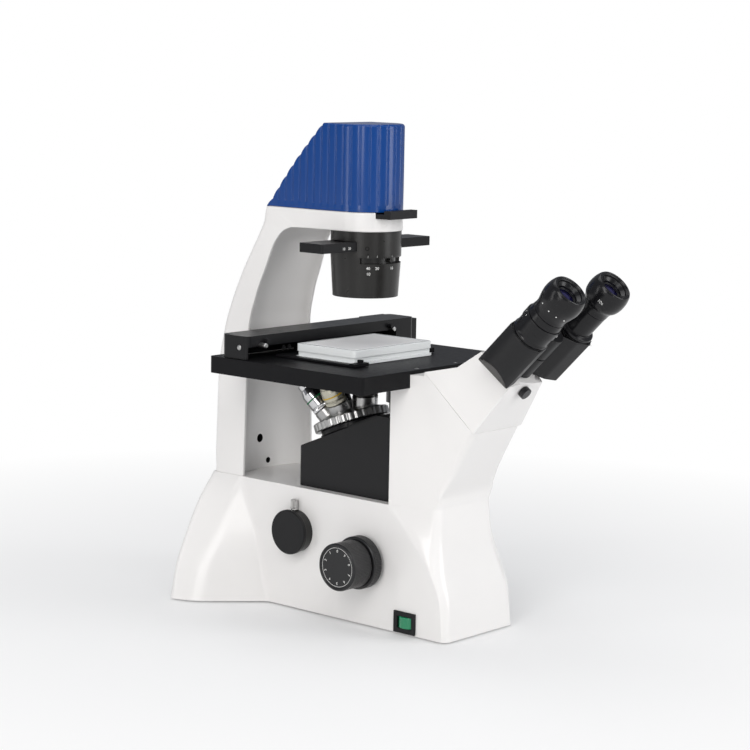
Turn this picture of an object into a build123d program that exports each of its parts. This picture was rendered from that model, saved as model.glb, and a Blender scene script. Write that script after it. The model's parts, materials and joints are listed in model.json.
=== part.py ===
from build123d import *

import math
import os

# Inverted microscope. The origin is where the optical axis meets the table. X points to the user's
# right, Y to the back and Z up. Lengths are millimetres, and every height is measured from the table.

# Fits and cuts
overrun = 1.0
flat_gap = 0.3
seat_gap = 0.1
shaft_gap = 0.05

# Base casting: a box with a flared rear foot and a nose that flares at the front
foot_height = 2.0
base_top = 137.0
side_half = 58.0
base_wall = 4.0
base_roof = 5.0
rear_y = 174.0
rear_half_low = 127.0
rear_half_top = 60.0
ridge_half_low = 118.0
ridge_y_low = 143.5
ridge_y_top = 130.0
heel_y_low = 84.0
heel_y_top = 126.0
tower_back = -89.0
cheek_y_low = -164.0
nose_half_low = 58.0
nose_half_top = 44.7
nose_y_low = -170.0
nose_y_top = -146.0
nose_round = 10.0
nose_round_low = 5.6
rear_round = 8.0
height_shares = (0.0, 0.28, 0.54, 0.785, 1.0)
rear_shares = (1.0, 0.87, 0.635, 0.36, 0.0)
ridge_shares = (1.0, 0.795, 0.472, 0.19, 0.0)
heel_shares = (1.0, 0.77, 0.56, 0.2, 0.0)
cheek_shares = (1.0, 0.96, 0.773, 0.453, 0.0)
nose_half_shares = (1.0, 0.81, 0.47, 0.17, 0.0)
nose_y_shares = (1.0, 0.85, 0.35, 0.06, 0.0)
heel_inset_share = 0.4

# Front tower of the casting, which leans forward to the head mount. Each side is folded along a crease.
tower_heights = (137.0, 155.0, 200.0, 226.0, 290.0)
tower_fronts = (-146.0, -149.6, -174.0, -188.2, -223.2)
tower_halves = (39.7, 41.5, 40.2, 40.0, 40.0)
crease_halves = (45.9, 44.8, 46.7, 47.9, 50.3)
crease_ys = (-141.1, -146.0, -136.7, -132.1, -122.3)
tower_rounds = (9.5, 5.0, 5.0, 5.0, 5.0)
tower_inner_round = 1.5
crease_inset_share = 0.5
tower_wall = 6.0
tower_drop = 4.0
seam_rise = 408.5
seam_top_y = -127.5
cavity_start = 110.0

# Light path: down the optical axis, then up and forward at 45 degrees
mirror_z = 78.0
beam_r = 17.0
mirror_r = 20.0
mirror_thick = 5.0

# Bottom plate, its screws and the feet
plate_thick = 3.0
post_r = 5.5
plate_gap = 1.2
post_front_y = -149.0
post_rear_x = 84.0
post_top = 42.0
screw_r = 2.0
screw_head_r = 3.6
screw_head_high = 1.6
screw_length = 10.0
foot_r = 11.0
foot_front = (33.0, -140.0)
foot_rear = (90.0, 148.0)

# Rear arm: a tapered pillar that curves forward into the lamp head
arm_front = 127.0
arm_front_top = 300.0
arm_front_curve = ((107.0, 369.0), (93.5, 402.0))
arm_front_end = 62.0
arm_rear_curve = ((174.0, 180.0), (175.0, 218.0), (166.5, 299.0), (146.0, 359.0), (124.0, 402.0))
arm_rear_low = 172.0
arm_rear_high = 109.0
arm_half = ((57.0, 137.0), (52.0, 281.0), (45.0, 395.0), (42.0, 418.0))
arm_joint_y = 55.0
head_low = 418.0
head_top = 439.0
head_r = 39.5
head_half = 42.0
head_wide_y = 70.0
arm_edge = 3.0
trough_depth = 20.0
trough_end_depth = 13.0
trough_tilts = (0.0, 0.0, 22.0, 30.0)
pad_half = 36.0
pad_tall = 18.0
pad_y = 138.0
arm_hole_r = 3.6
arm_hole_deep = 10.0
arm_holes = ((-10.0, 172.0), (4.0, 145.0))

# Lamp cover: a ribbed shell over the lamp, cut off at a slant behind
cover_high = 93.0
cover_rear_top = 30.0
cover_wall = 3.0
rib_pitch = 10.1
rib_width = 3.0
rib_depth = 1.0
rib_foot = 7.0
rib_first_y = 6.0
rib_count = 10
rib_front_step = 15.0
rib_front_count = 11

# Lamp, its socket and the collector lens
lamp_rise = 46.0
bulb_r = 5.5
bulb_front = -8.0
bulb_back = 9.0
bulb_pin_r = 0.7
bulb_pin_offset = 3.2
bulb_pin_length = 8.0
bulb_base_half = 7.0
bulb_base_back = 19.0
socket_half = 12.0
socket_high = 9.0
socket_back = 34.0
socket_stem_half = 7.0
socket_stem_front = 28.0
socket_foot_thick = 4.0
socket_foot_back = 54.0
collector_r = 20.0
collector_thick = 9.0
collector_ledge = 2.5
collector_ledge_r = 18.0

# Filter drawer in the front of the head
drawer_half = 22.0
drawer_low = 432.5
drawer_high = 441.5
drawer_front = -53.0
drawer_back = 27.0
drawer_hole_r = 17.0
drawer_face = 9.0
drawer_tray = 5.0

# Condenser barrel under the head, with its lens, aperture ring and phase slider
barrel_low = 347.0
barrel_low_r = 35.5
barrel_top_r = 38.3
barrel_flare_z = 392.0
barrel_bore_r = 26.0
condenser_lens_r = 25.8
condenser_lens_low = 351.0
condenser_lens_high = 364.0
condenser_lip_r = 22.0
condenser_lip = 3.0
ring_low = 383.8
ring_high = 390.2
ring_in_r = 20.0
ring_out_r = 32.0
ring_room_r = 32.3
ring_slot_half = 58.0
lever_r = 2.2
lever_reach = 37.4
slider_half_long = 88.0
slider_half_wide = 17.0
slider_low = 397.5
slider_high = 407.5
slider_hole_r = 12.0
slider_hole_pitch = 34.0
set_screw_r = 1.5
set_screw_angle = 45.0
set_screw_z = 393.6

# Stage plate, its insert and the bracket that carries it. The stage hangs on its rise above the base.
stage_rise = 144.0
stage_thick = 18.0
stage_half_x = 128.6
stage_front = -111.0
stage_back = 109.0
stage_corner = 5.0
stage_open_r = 55.0
insert_r = 59.0
insert_thick = 2.5
insert_hole_r = 17.0
bracket_half = 34.0
bracket_front = 86.0
bracket_thick = 13.0
stage_screw_x = 32.0
stage_screw_y = -102.0
stage_screw_r = 3.0
stage_screw_head = 2.2
stage_screw_length = 8.0

# Mechanical stage: rail, cross carriage, coaxial drive and plate holder
rail_rise = 3.0
rail_tall = 12.0
rail_thick = 6.0
rail_half_y = 104.0
bar_left = -126.0
bar_right = 148.0
bar_front = 54.5
bar_back = 93.0
bar_gap = 0.6
bar_tall = 24.9
bar_corner = 7.0
bar_wall = 3.0
block_left = 119.0
block_right = 160.0
block_back = 114.0
block_drop = 35.0
drive_x = 148.5
drive_y = 76.0
y_shaft_r = 5.0
y_shaft_drop = 19.0
y_knob_r = 15.0
y_knob_drop = 76.0
y_knob_tall = 19.0
x_shaft_r = 3.0
x_shaft_drop = 13.0
x_knob_r = 11.5
x_knob_tall = 24.7
holder_x = -8.75
holder_y = -8.25
holder_thick = 2.4
holder_arm = 9.0
holder_hook = 13.0
holder_lip = 6.0
holder_block_half = 24.0
holder_tongue = 20.0
guide_pin_r = 2.6
guide_pin_long = 8.0
guide_pin_xs = (-98.0, 104.0)

# Well plate with 96 wells, and its lid
well_plate_x = 127.76
well_plate_y = 85.48
well_plate_high = 14.35
well_flange_high = 2.5
well_body_inset = 2.2
well_pitch = 9.0
well_r = 3.2
well_deep = 10.7
well_columns = 12
well_rows = 8
well_corner = 4.0
lid_wall = 1.2
lid_skirt = 8.0
lid_inset = 1.3

# Focus housing, and the carriage that slides inside it
housing_half = 48.0
housing_front = -85.0
housing_back = 51.0
housing_wall = 5.0
housing_corner = 6.0
turret_tilt = 22.5
apex_drop = 112.5
housing_top_t = 30.3
housing_step_y = -64.0
carriage_half = 30.0
carriage_room = 1.5
carriage_wall = 6.0
carriage_front = -46.0
carriage_back = 34.0
carriage_low = 45.0
carriage_front_top = 98.0
carriage_head_t = 33.0
carriage_head_r = 36.0
carriage_head_thick = 4.7
guide_half = 12.0
guide_low = 60.0
guide_high = 150.0

# Nosepiece turret and objectives
turret_t = 38.0
turret_r = 42.5
turret_rim = 10.0
turret_thick = 15.0
turret_flutes = 30
turret_flute_r = 2.2
turret_pin_r = 6.0
light_r = 9.1
boss_r = 12.3
boss_end = 68.0
objective_count = 5
objective_shoulder_share = 0.62
objective_cone_share = 0.8
tip_edge = 1.0

# Each objective: its length, body radius, tip radius and lens radius
objective_shapes = {
    "objective_10x": (30.0, 12.0, 8.0, 4.6),
    "objective_phase_10x": (30.5, 12.0, 8.0, 4.6),
    "objective_20x": (35.0, 12.0, 8.6, 4.2),
    "objective_40x": (36.0, 12.0, 9.0, 3.6),
    "objective_4x": (24.0, 12.0, 10.5, 6.2),
}

# Focus shafts and knobs, on an axis that crosses the base
knob_y = -59.0
knob_z = 72.0
pinion_r = 5.7
pinion_teeth = 24
tooth_deep = 1.0
pinion_half = 9.0
coarse_shaft_r = 5.0
fine_shaft_r = 3.0
boss_reach = 62.5
boss_out_r = 12.0
coarse_in = 64.0
coarse_out = 76.0
coarse_r = 28.5
fine_in = 77.0
fine_out = 105.0
fine_r = 25.5
knob_cup = 3.0
knob_edge = 1.0
dial_recess = 1.2
tension_r = 22.0
rack_half = 8.0
rack_high = 92.0
rack_low = 48.0

# Camera port on the left wall
port_y = 42.0
port_z = 89.0
collar_r = 23.0
collar_out = 68.0
collar_bore_r = 16.0
collar_spigot_r = 18.0
port_cap_r = 24.5
port_cap_out = 73.6
port_cap_spigot = 8.0
port_screw_r = 4.0
port_screw_high = 12.0
port_screw_shank_r = 1.8
port_screw_shank = 4.5

# Power switch, brightness dial, inlet and board
switch_y = -115.3
switch_half = 14.7
switch_low = 3.0
switch_high = 26.0
switch_flange = 2.2
switch_body_half = 12.0
switch_body_deep = 18.0
rocker_half = 9.5
rocker_high = 12.0
rocker_proud = 1.6
rocker_side_gap = 1.0
rocker_r = 12.0
dial_y = -112.0
dial_z = 62.0
dial_r = 14.0
dial_out = 74.0
dial_shaft_r = 3.0
dial_shaft_in = 42.0
inlet_x = -42.0
inlet_z = 36.0
inlet_half = 24.0
inlet_high_half = 14.0
inlet_body_half = 15.0
inlet_body_high = 11.5
inlet_deep = 24.0
inlet_flange = 2.5
inlet_socket_half = 12.0
inlet_socket_high = 8.0
inlet_socket_deep = 17.0
inlet_pin_half = 1.0
inlet_pin_tall = 2.0
inlet_pin_pitch = 7.0
board_z = 12.0
board_thick = 1.6
board_half = 42.0
board_front = 62.0
board_back = 132.0
board_post_r = 3.0
transformer_size = (44.0, 36.0, 34.0)
capacitor_r = 7.0
capacitor_high = 22.0
capacitor_count = 3
capacitor_start = 14.0
capacitor_pitch = 21.0

# Binocular head along the inclined axis
head_gap = 0.2
mount_end = 62.0
mount_low_n = -18.5
mount_high_n = 29.0
mount_lean = 0.12
mount_half = 47.0
mount_end_half = 33.0
mount_back_y = -163.0
mount_back_z = 289.0
mount_bore_r = 19.0
mount_bore_deep = 18.0
mount_light_r = 8.0
mount_wall = 5.0
tube_lens_r = 18.8
tube_lens_in = 8.0
tube_lens_thick = 7.0
boss_end_d = 66.0
boss_ring_r = 20.0
hinge_r = 7.0
hinge_end = 124.0
prism_start = 66.5
prism_split = 95.0
prism_end = 124.5
prism_gap = 1.5
prism_r = 22.0
prism_knee = 27.0
prism_wall = 3.0
knuckle_r = 14.0
knuckle_room = 0.6
eye_spacing = 75.0
tube_r = 18.5
tube_end = 158.0
tube_ring_r = 20.5
tube_ring_end = 129.0
tube_bore_r = 15.1
eyepiece_barrel_r = 15.0
eyepiece_barrel_start = 132.0
diopter_r = 20.6
diopter_start = 140.0
diopter_end = 150.0
diopter_groove = 1.2
eyepiece_start = 158.4
eyepiece_waist_r = 20.0
eyepiece_r = 21.8
eyepiece_end = 194.0
eyepiece_bore_r = 13.0
eyepiece_lip_r = 17.5
eye_lens_r = 12.9
eye_lens_start = 178.0
eye_lens_thick = 6.0
lock_d = 54.0
lock_r = 6.5
lock_long = 6.0
lock_shank_r = 3.0
lock_shank = 6.0

nodes = {}

# Heights that follow from the ones above
stage_top = base_top + stage_rise
stage_low = stage_top - stage_thick
tower_top = stage_top - tower_drop
pad_high = stage_low - overrun
pad_low = pad_high - pad_tall
rail_low = stage_low + rail_rise
rail_high = rail_low + rail_tall
bar_low = stage_top + bar_gap
bar_high = bar_low + bar_tall
holder_low = bar_low
block_low = stage_top - block_drop
y_shaft_top = stage_top - y_shaft_drop
x_shaft_top = stage_top - x_shaft_drop
y_knob_low = stage_top - y_knob_drop
y_knob_high = y_knob_low + y_knob_tall
x_knob_low = y_knob_low - flat_gap - x_knob_tall
apex_z = stage_top - apex_drop
cover_top = head_top + cover_high
lamp_z = head_top + lamp_rise


def block(x0, x1, y0, y1, z0, z1):
    """Box between two opposite corners."""
    return Pos((x0 + x1) / 2, (y0 + y1) / 2, (z0 + z1) / 2) * Box(x1 - x0, y1 - y0, z1 - z0)


def rod(base, direction, radius, length):
    """Cylinder that starts at base and runs along direction."""
    frame = Plane(origin=base, z_dir=direction)
    return frame * Cylinder(radius, length, align=(Align.CENTER, Align.CENTER, Align.MIN))


def lathe(frame, profile):
    """Solid of revolution about the frame's Z, from a closed outline of (radius, height)."""
    outline = Polyline([(radius, 0, height) for radius, height in profile], close=True)
    return frame * revolve(make_face(outline), Axis.Z)


def slab(points, half):
    """Side view outline of (y, z) points, extruded from -half to half along X."""
    outline = Polyline([(-half, y, z) for y, z in points], close=True)
    return extrude(make_face(outline), amount=2 * half, dir=(1, 0, 0))


def mirrored(points):
    """Closed outline from its right half."""
    return list(points) + [(-x, y) for x, y in reversed(points)]


def rounded_face(points, radii, height):
    """Face at one height, with each corner of its outline rounded by its own radius."""
    corners = [Vector(x, y, height) for x, y in points]
    bends = []
    for index, (corner, radius) in enumerate(zip(corners, radii)):
        if radius == 0:
            bends.append((corner, corner, corner, radius))
            continue
        inward = (corners[index - 1] - corner).normalized()
        outward = (corners[(index + 1) % len(corners)] - corner).normalized()
        half_angle = math.radians(inward.get_angle(outward) / 2)
        reach = radius / math.tan(half_angle)
        middle = (inward + outward).normalized() * (radius / math.sin(half_angle) - radius)
        bends.append((corner + inward * reach, corner + middle, corner + outward * reach, radius))
    edges = []
    for bend, following in zip(bends, bends[1:] + bends[:1]):
        if bend[3] > 0:
            edges.append(ThreePointArc(*bend[:3]))
        edges.append(Line(bend[2], following[0]))
    return make_face(edges)


def rounded_block(x0, x1, y0, y1, z0, z1, radius):
    """Box with rounded upright corners."""
    return extrude(rounded_face([(x0, y0), (x1, y0), (x1, y1), (x0, y1)], [radius] * 4, z0), z1 - z0)


def spread(top, low, share):
    """Value between its size at the top and its size at the bottom."""
    return top + (low - top) * share


root_half = math.sqrt(0.5)
head_axis = Vector(0, -root_half, root_half)
head_up = Vector(0, root_half, root_half)
seam_y = (mirror_z - seam_rise) / 2
seam_z = mirror_z - seam_y
tilt = math.radians(turret_tilt)
turret_axis = Vector(0, math.sin(tilt), math.cos(tilt))
apex = Vector(0, 0, apex_z)


def head_point(along, across=0.0, up=0.0):
    """Point of the binocular head, along its axis from the seam."""
    return Vector(across, seam_y, seam_z) + head_axis * along + head_up * up


def head_frame(along, across=0.0):
    """Plane square to the binocular axis, its X across and its Z along the axis."""
    return Plane(origin=head_point(along, across), x_dir=(1, 0, 0), z_dir=head_axis)


def turret_frame(distance):
    """Plane square to the turret axis."""
    return Plane(origin=apex + turret_axis * distance, x_dir=(1, 0, 0), z_dir=turret_axis)


def beam(start, end, radius):
    """Cylinder round the inclined light path, measured from the seam."""
    return rod(head_point(start), head_axis, radius, end - start)


def base_section(level, inset, height):
    """Outline of the base casting at one of its levels."""
    nose = (spread(nose_half_top, nose_half_low, nose_half_shares[level]) - inset,
            spread(nose_y_top, nose_y_low, nose_y_shares[level]) + inset)
    cheek = (side_half - inset, spread(tower_back, cheek_y_low, cheek_shares[level]))
    heel = (side_half - inset,
            spread(heel_y_top, heel_y_low, heel_shares[level]) + inset * heel_inset_share)
    ridge = (spread(side_half, ridge_half_low, ridge_shares[level]) - inset,
             spread(ridge_y_top, ridge_y_low, ridge_shares[level]) + inset)
    rear = (spread(rear_half_top, rear_half_low, rear_shares[level]) - inset, rear_y - inset)
    points = mirrored([nose, cheek, heel, ridge, rear])
    nose_bend = spread(nose_round, nose_round_low, nose_half_shares[level]) - inset
    half_radii = [nose_bend, 0, 0, 0, rear_round - inset]
    return rounded_face(points, half_radii + half_radii[::-1], height)


def base_loft(inset, top):
    """Body of the base between the table side and a given top."""
    low = foot_height
    heights = [low + (base_top - low) * share for share in height_shares]
    heights[-1] = top
    return loft([base_section(level, inset, height) for level, height in enumerate(heights)])


def tower_section(level, inset, height):
    """Outline of the front tower at one of its levels."""
    corner = (tower_halves[level] - inset, tower_fronts[level] + inset)
    crease = (crease_halves[level] - inset, crease_ys[level] + inset * crease_inset_share)
    bend = max(tower_rounds[level] - inset, tower_inner_round)
    half_radii = [bend, bend, 0]
    points = mirrored([corner, crease, (side_half - inset, tower_back - inset)])
    return rounded_face(points, half_radii + half_radii[::-1], height)


def tower_loft(inset, start):
    """Front tower, from below the base top up past the seam."""
    sections = [tower_section(0, inset, start)]
    for level, height in enumerate(tower_heights):
        sections.append(tower_section(level, inset, height))
    return loft(sections)


def seam_point(y):
    """Point of the seam between the tower and the head mount, in side view."""
    return (y, y + seam_rise)


def add_base():
    """Base casting with its tower, bosses and openings."""
    far_y = tower_fronts[-1] - tower_wall
    lean = slab([(tower_back + overrun, base_top - overrun), (tower_back + overrun, stage_low - seat_gap),
                 (stage_front - seat_gap, stage_low - seat_gap), (stage_front - seat_gap, tower_top),
                 seam_point(seam_top_y), seam_point(far_y), (far_y, base_top - overrun)], side_half)
    room_back = tower_back - tower_wall
    room_step = stage_front - tower_wall
    room = slab([(room_back, cavity_start), (room_back, stage_low - tower_wall),
                 (room_step, stage_low - tower_wall), (room_step, tower_top - tower_wall),
                 (seam_top_y - tower_wall, tower_top - tower_wall), seam_point(far_y),
                 (far_y, cavity_start)], side_half)
    casting = base_loft(0, base_top) + (tower_loft(0, base_top - overrun) & lean)
    casting -= base_loft(base_wall, base_top - base_roof)
    casting -= tower_loft(base_wall, cavity_start) & room
    low = foot_height + plate_thick + flat_gap
    for x, y in post_places():
        casting += rod((x, y, low), (0, 0, 1), post_r, post_top - low)
        casting -= rod((x, y, low - overrun), (0, 0, 1), screw_r + shaft_gap, screw_length + overrun)
    for side in (-1, 1):
        casting += rod((side * (side_half - overrun), knob_y, knob_z), (side, 0, 0), boss_out_r,
                       boss_reach - side_half + overrun)
        casting -= rod((side * (side_half - base_wall - overrun), knob_y, knob_z), (side, 0, 0),
                       coarse_shaft_r + shaft_gap, boss_reach)
    opening_half = carriage_half + carriage_room
    casting -= block(-opening_half, opening_half, knob_y, housing_back - housing_wall, base_top
                     - base_roof - overrun, base_top + overrun)
    casting -= rod(head_point(-beam_length()), head_axis, beam_r, beam_length())
    wall_in = side_half - base_wall - overrun
    casting -= rod((-wall_in, port_y, port_z), (-1, 0, 0), collar_spigot_r + seat_gap, base_wall * 2)
    casting -= block(-side_half - overrun, -wall_in, switch_y - switch_body_half - seat_gap,
                     switch_y + switch_body_half + seat_gap, switch_low + switch_flange,
                     switch_high - switch_flange)
    casting -= rod((wall_in, dial_y, dial_z), (1, 0, 0), dial_shaft_r + shaft_gap, base_wall * 2)
    casting -= block(inlet_x - inlet_body_half - seat_gap, inlet_x + inlet_body_half + seat_gap,
                     rear_y - base_wall - overrun, rear_y + overrun, inlet_z - inlet_body_high - seat_gap,
                     inlet_z + inlet_body_high + seat_gap)
    nodes["base_casting"] = casting


def post_places():
    """Places of the four screw posts, left and right, front and rear."""
    front_x = side_half - base_wall - post_r + seat_gap
    post_rear_y = rear_y - base_wall - post_r + seat_gap
    corners = ((front_x, post_front_y), (post_rear_x, post_rear_y))
    return [(side * x, y) for side in (-1, 1) for x, y in corners]


def beam_length():
    """Length of the inclined light path from the mirror to the seam."""
    return math.hypot(seam_y, seam_z - mirror_z)


def add_bottom():
    """Bottom plate, its screws, and the rubber feet under it."""
    outline = base_section(0, base_wall + plate_gap, foot_height)
    plate = extrude(outline, plate_thick)
    screws = []
    for x, y in post_places():
        low = foot_height - overrun
        plate -= rod((x, y, low), (0, 0, 1), screw_r + shaft_gap, plate_thick + overrun * 2)
        plate -= rod((x, y, low), (0, 0, 1), screw_head_r + seat_gap, screw_head_high + overrun)
        screws.append(rod((x, y, foot_height), (0, 0, 1), screw_head_r, screw_head_high - seat_gap)
                      + rod((x, y, foot_height), (0, 0, 1), screw_r, screw_length))
    for side in (-1, 1):
        head_z = stage_top - stage_screw_head
        top = rod((side * stage_screw_x, stage_screw_y, head_z), (0, 0, 1), stage_screw_r,
                  stage_screw_head - flat_gap)
        shank = rod((side * stage_screw_x, stage_screw_y, head_z - stage_screw_length), (0, 0, 1), screw_r,
                    stage_screw_length + overrun)
        screws.append(top + shank)
    nodes["bottom_plate"] = plate
    nodes["cap_screws"] = Compound(children=[screw.solid() for screw in screws])
    feet = []
    for x, y in (foot_front, foot_rear):
        for side in (-1, 1):
            feet.append(Pos(side * x, y, 0) * Cylinder(foot_r, foot_height, align=(
                Align.CENTER, Align.CENTER, Align.MIN)))
    nodes["rubber_feet"] = Compound(children=[foot.solid() for foot in feet])


def head_plan(inset, rear, height):
    """Plan outline of the lamp head and its cover: a half round front and nearly straight sides."""
    radius = head_r - inset
    half = head_half - inset
    edges = [ThreePointArc((-radius, 0, height), (0, -radius, height), (radius, 0, height)),
             Line((radius, 0, height), (half, head_wide_y, height)),
             Line((half, head_wide_y, height), (half, rear, height)),
             Line((half, rear, height), (-half, rear, height)),
             Line((-half, rear, height), (-half, head_wide_y, height)),
             Line((-half, head_wide_y, height), (-radius, 0, height))]
    return make_face(edges)


def add_arm():
    """Rear arm with its trough, the pad for the stage bracket and the lamp head."""
    half = side_half
    low = base_top + seat_gap
    front_line = Line((-half, arm_front, low), (-half, arm_front, arm_front_top))
    front_bend = Spline([(-half, arm_front, arm_front_top)] + [(-half, y, z) for y, z in arm_front_curve]
                        + [(-half, arm_front_end, head_low)], tangents=[(0, 0, 1), (0, -1, 0)])
    rear_bend = Spline([(-half, arm_rear_low, low)] + [(-half, y, z) for y, z in arm_rear_curve]
                       + [(-half, arm_rear_high, head_top)])
    edges = [front_line, front_bend, Line((-half, arm_front_end, head_low), (-half, arm_joint_y, head_low)),
             Line((-half, arm_joint_y, head_low), (-half, arm_joint_y, head_top)),
             Line((-half, arm_joint_y, head_top), (-half, arm_rear_high, head_top)), rear_bend,
             Line((-half, arm_rear_low, low), (-half, arm_front, low))]
    side_view = extrude(make_face(edges), amount=half * 2, dir=(1, 0, 0))
    outline = [(x, z) for x, z in arm_half] + [(arm_half[-1][0], head_top + overrun)]
    outline += [(-x, z) for x, z in reversed(outline)]
    front_view = extrude(make_face(Polyline([(x, 0, z) for x, z in outline], close=True)),
                         amount=rear_y * 2, dir=(0, 1, 0))
    arm = side_view & front_view
    stations = [(arm_front, low - overrun), (arm_front, arm_front_top)] + list(arm_front_curve)
    depths = (trough_depth, trough_depth, trough_depth, trough_end_depth)
    widths = (arm_half[0][0], arm_half[1][0] - overrun, (arm_half[1][0] + arm_half[2][0]) / 2, arm_half[2][0])
    ovals = []
    for (y, z), depth, width, lean in zip(stations, depths, widths, trough_tilts):
        frame = Plane(origin=(0, y, z), x_dir=(1, 0, 0),
                      z_dir=(0, -math.sin(math.radians(lean)), math.cos(math.radians(lean))))
        ovals.append(frame * Ellipse(width - arm_edge, depth))
    arm -= loft(ovals)
    arm += block(-pad_half, pad_half, pad_y, pad_y + trough_depth, pad_low, pad_high)
    arm += extrude(head_plan(0, arm_joint_y + overrun, head_low), head_top - head_low)
    for x, z in arm_holes:
        arm -= rod((x, arm_front, z), (0, 1, 0), arm_hole_r, trough_depth + arm_hole_deep)
    arm -= rod((0, 0, head_low - overrun), (0, 0, 1), collector_ledge_r, head_top)
    arm -= rod((0, 0, head_low + collector_ledge), (0, 0, 1), collector_r + seat_gap, head_top)
    slot = drawer_half + flat_gap
    arm -= block(-slot, slot, drawer_front, drawer_back + flat_gap, drawer_low - flat_gap, drawer_high)
    nodes["rear_arm"] = arm


def add_lamp_cover():
    """Ribbed cover over the lamp: vertical flutes in a shell that is open below."""
    low = head_top + flat_gap

    def shell(inset):
        """Outer or inner form of the cover."""
        rear = arm_rear_high - inset
        slant = slab([(-head_r, low - overrun), (rear, low - overrun), (rear, low),
                      (cover_rear_top - inset, cover_top - inset), (-head_r, cover_top - inset)], side_half)
        return extrude(head_plan(inset, rear, low - overrun), cover_top) & slant

    cover = shell(0) - shell(cover_wall)
    cover -= block(-side_half, side_half, -head_r, arm_rear_high, low - overrun * 2, low)
    slot = drawer_half + flat_gap * 2
    cover -= block(-slot, slot, drawer_front, -head_r + head_half, low - overrun, drawer_high + flat_gap)
    flute = rib_pitch - rib_width
    for number in range(rib_count):
        y = rib_first_y + number * rib_pitch
        for side in (-1, 1):
            outer = side * (head_half + overrun)
            slope = head_r + (head_half - head_r) * min(1, y / head_wide_y)
            inner = side * (slope - rib_depth)
            cover -= block(min(inner, outer), max(inner, outer), y, y + flute, low + rib_foot, cover_top
                           + overrun)
    for number in range(rib_front_count):
        angle = -90 + (number - (rib_front_count - 1) / 2) * rib_front_step
        groove = block(head_r - rib_depth, head_r + overrun, -flute / 2, flute / 2, low + rib_foot,
                       cover_top + overrun)
        cover -= Rot(0, 0, angle) * groove
    nodes["lamp_cover"] = cover


def add_lamp():
    """Halogen bulb in its socket on a bracket, and the collector lens under it."""
    foot = head_top + seat_gap
    back = socket_back
    holder = block(-socket_half, socket_half, bulb_base_back + seat_gap, back, lamp_z - socket_high,
                   lamp_z + socket_high)
    holder += block(-socket_stem_half, socket_stem_half, socket_stem_front, back, foot, lamp_z)
    holder += block(-socket_half, socket_half, socket_stem_front, socket_foot_back, foot,
                    foot + socket_foot_thick)
    bulb = rod((0, bulb_back, lamp_z), (0, -1, 0), bulb_r, bulb_back - bulb_front - bulb_r)
    bulb += Pos(0, bulb_front + bulb_r, lamp_z) * Sphere(bulb_r)
    bulb += block(-bulb_base_half, bulb_base_half, bulb_back - overrun, bulb_base_back, lamp_z - bulb_r
                  / 2, lamp_z + bulb_r / 2)
    for side in (-1, 1):
        start = (side * bulb_pin_offset, bulb_base_back - overrun, lamp_z)
        bulb += rod(start, (0, 1, 0), bulb_pin_r, bulb_pin_length + overrun)
        holder -= rod(start, (0, 1, 0), bulb_pin_r + seat_gap, bulb_pin_length + overrun * 2)
    nodes["lamp_socket"] = holder
    nodes["halogen_bulb"] = bulb
    seat = head_low + collector_ledge
    dome = collector_thick / 2
    sphere_r = (collector_r ** 2 + dome ** 2) / (2 * dome)
    lens = rod((0, 0, seat), (0, 0, 1), collector_r, collector_thick)
    lens &= Pos(0, 0, seat + collector_thick - sphere_r) * Sphere(sphere_r)
    nodes["collector_lens"] = lens


def add_filter_drawer():
    """Drawer that slides out of the front of the head, with a filter opening."""
    low = drawer_low
    drawer = block(-drawer_half, drawer_half, drawer_front + drawer_face, drawer_back, low, low + drawer_tray)
    drawer += block(-drawer_half, drawer_half, drawer_front, drawer_front + drawer_face, low,
                    drawer_high - seat_gap)
    drawer -= rod((0, 0, low - overrun), (0, 0, 1), drawer_hole_r, drawer_tray + overrun * 2)
    nodes["filter_drawer"] = drawer


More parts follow.
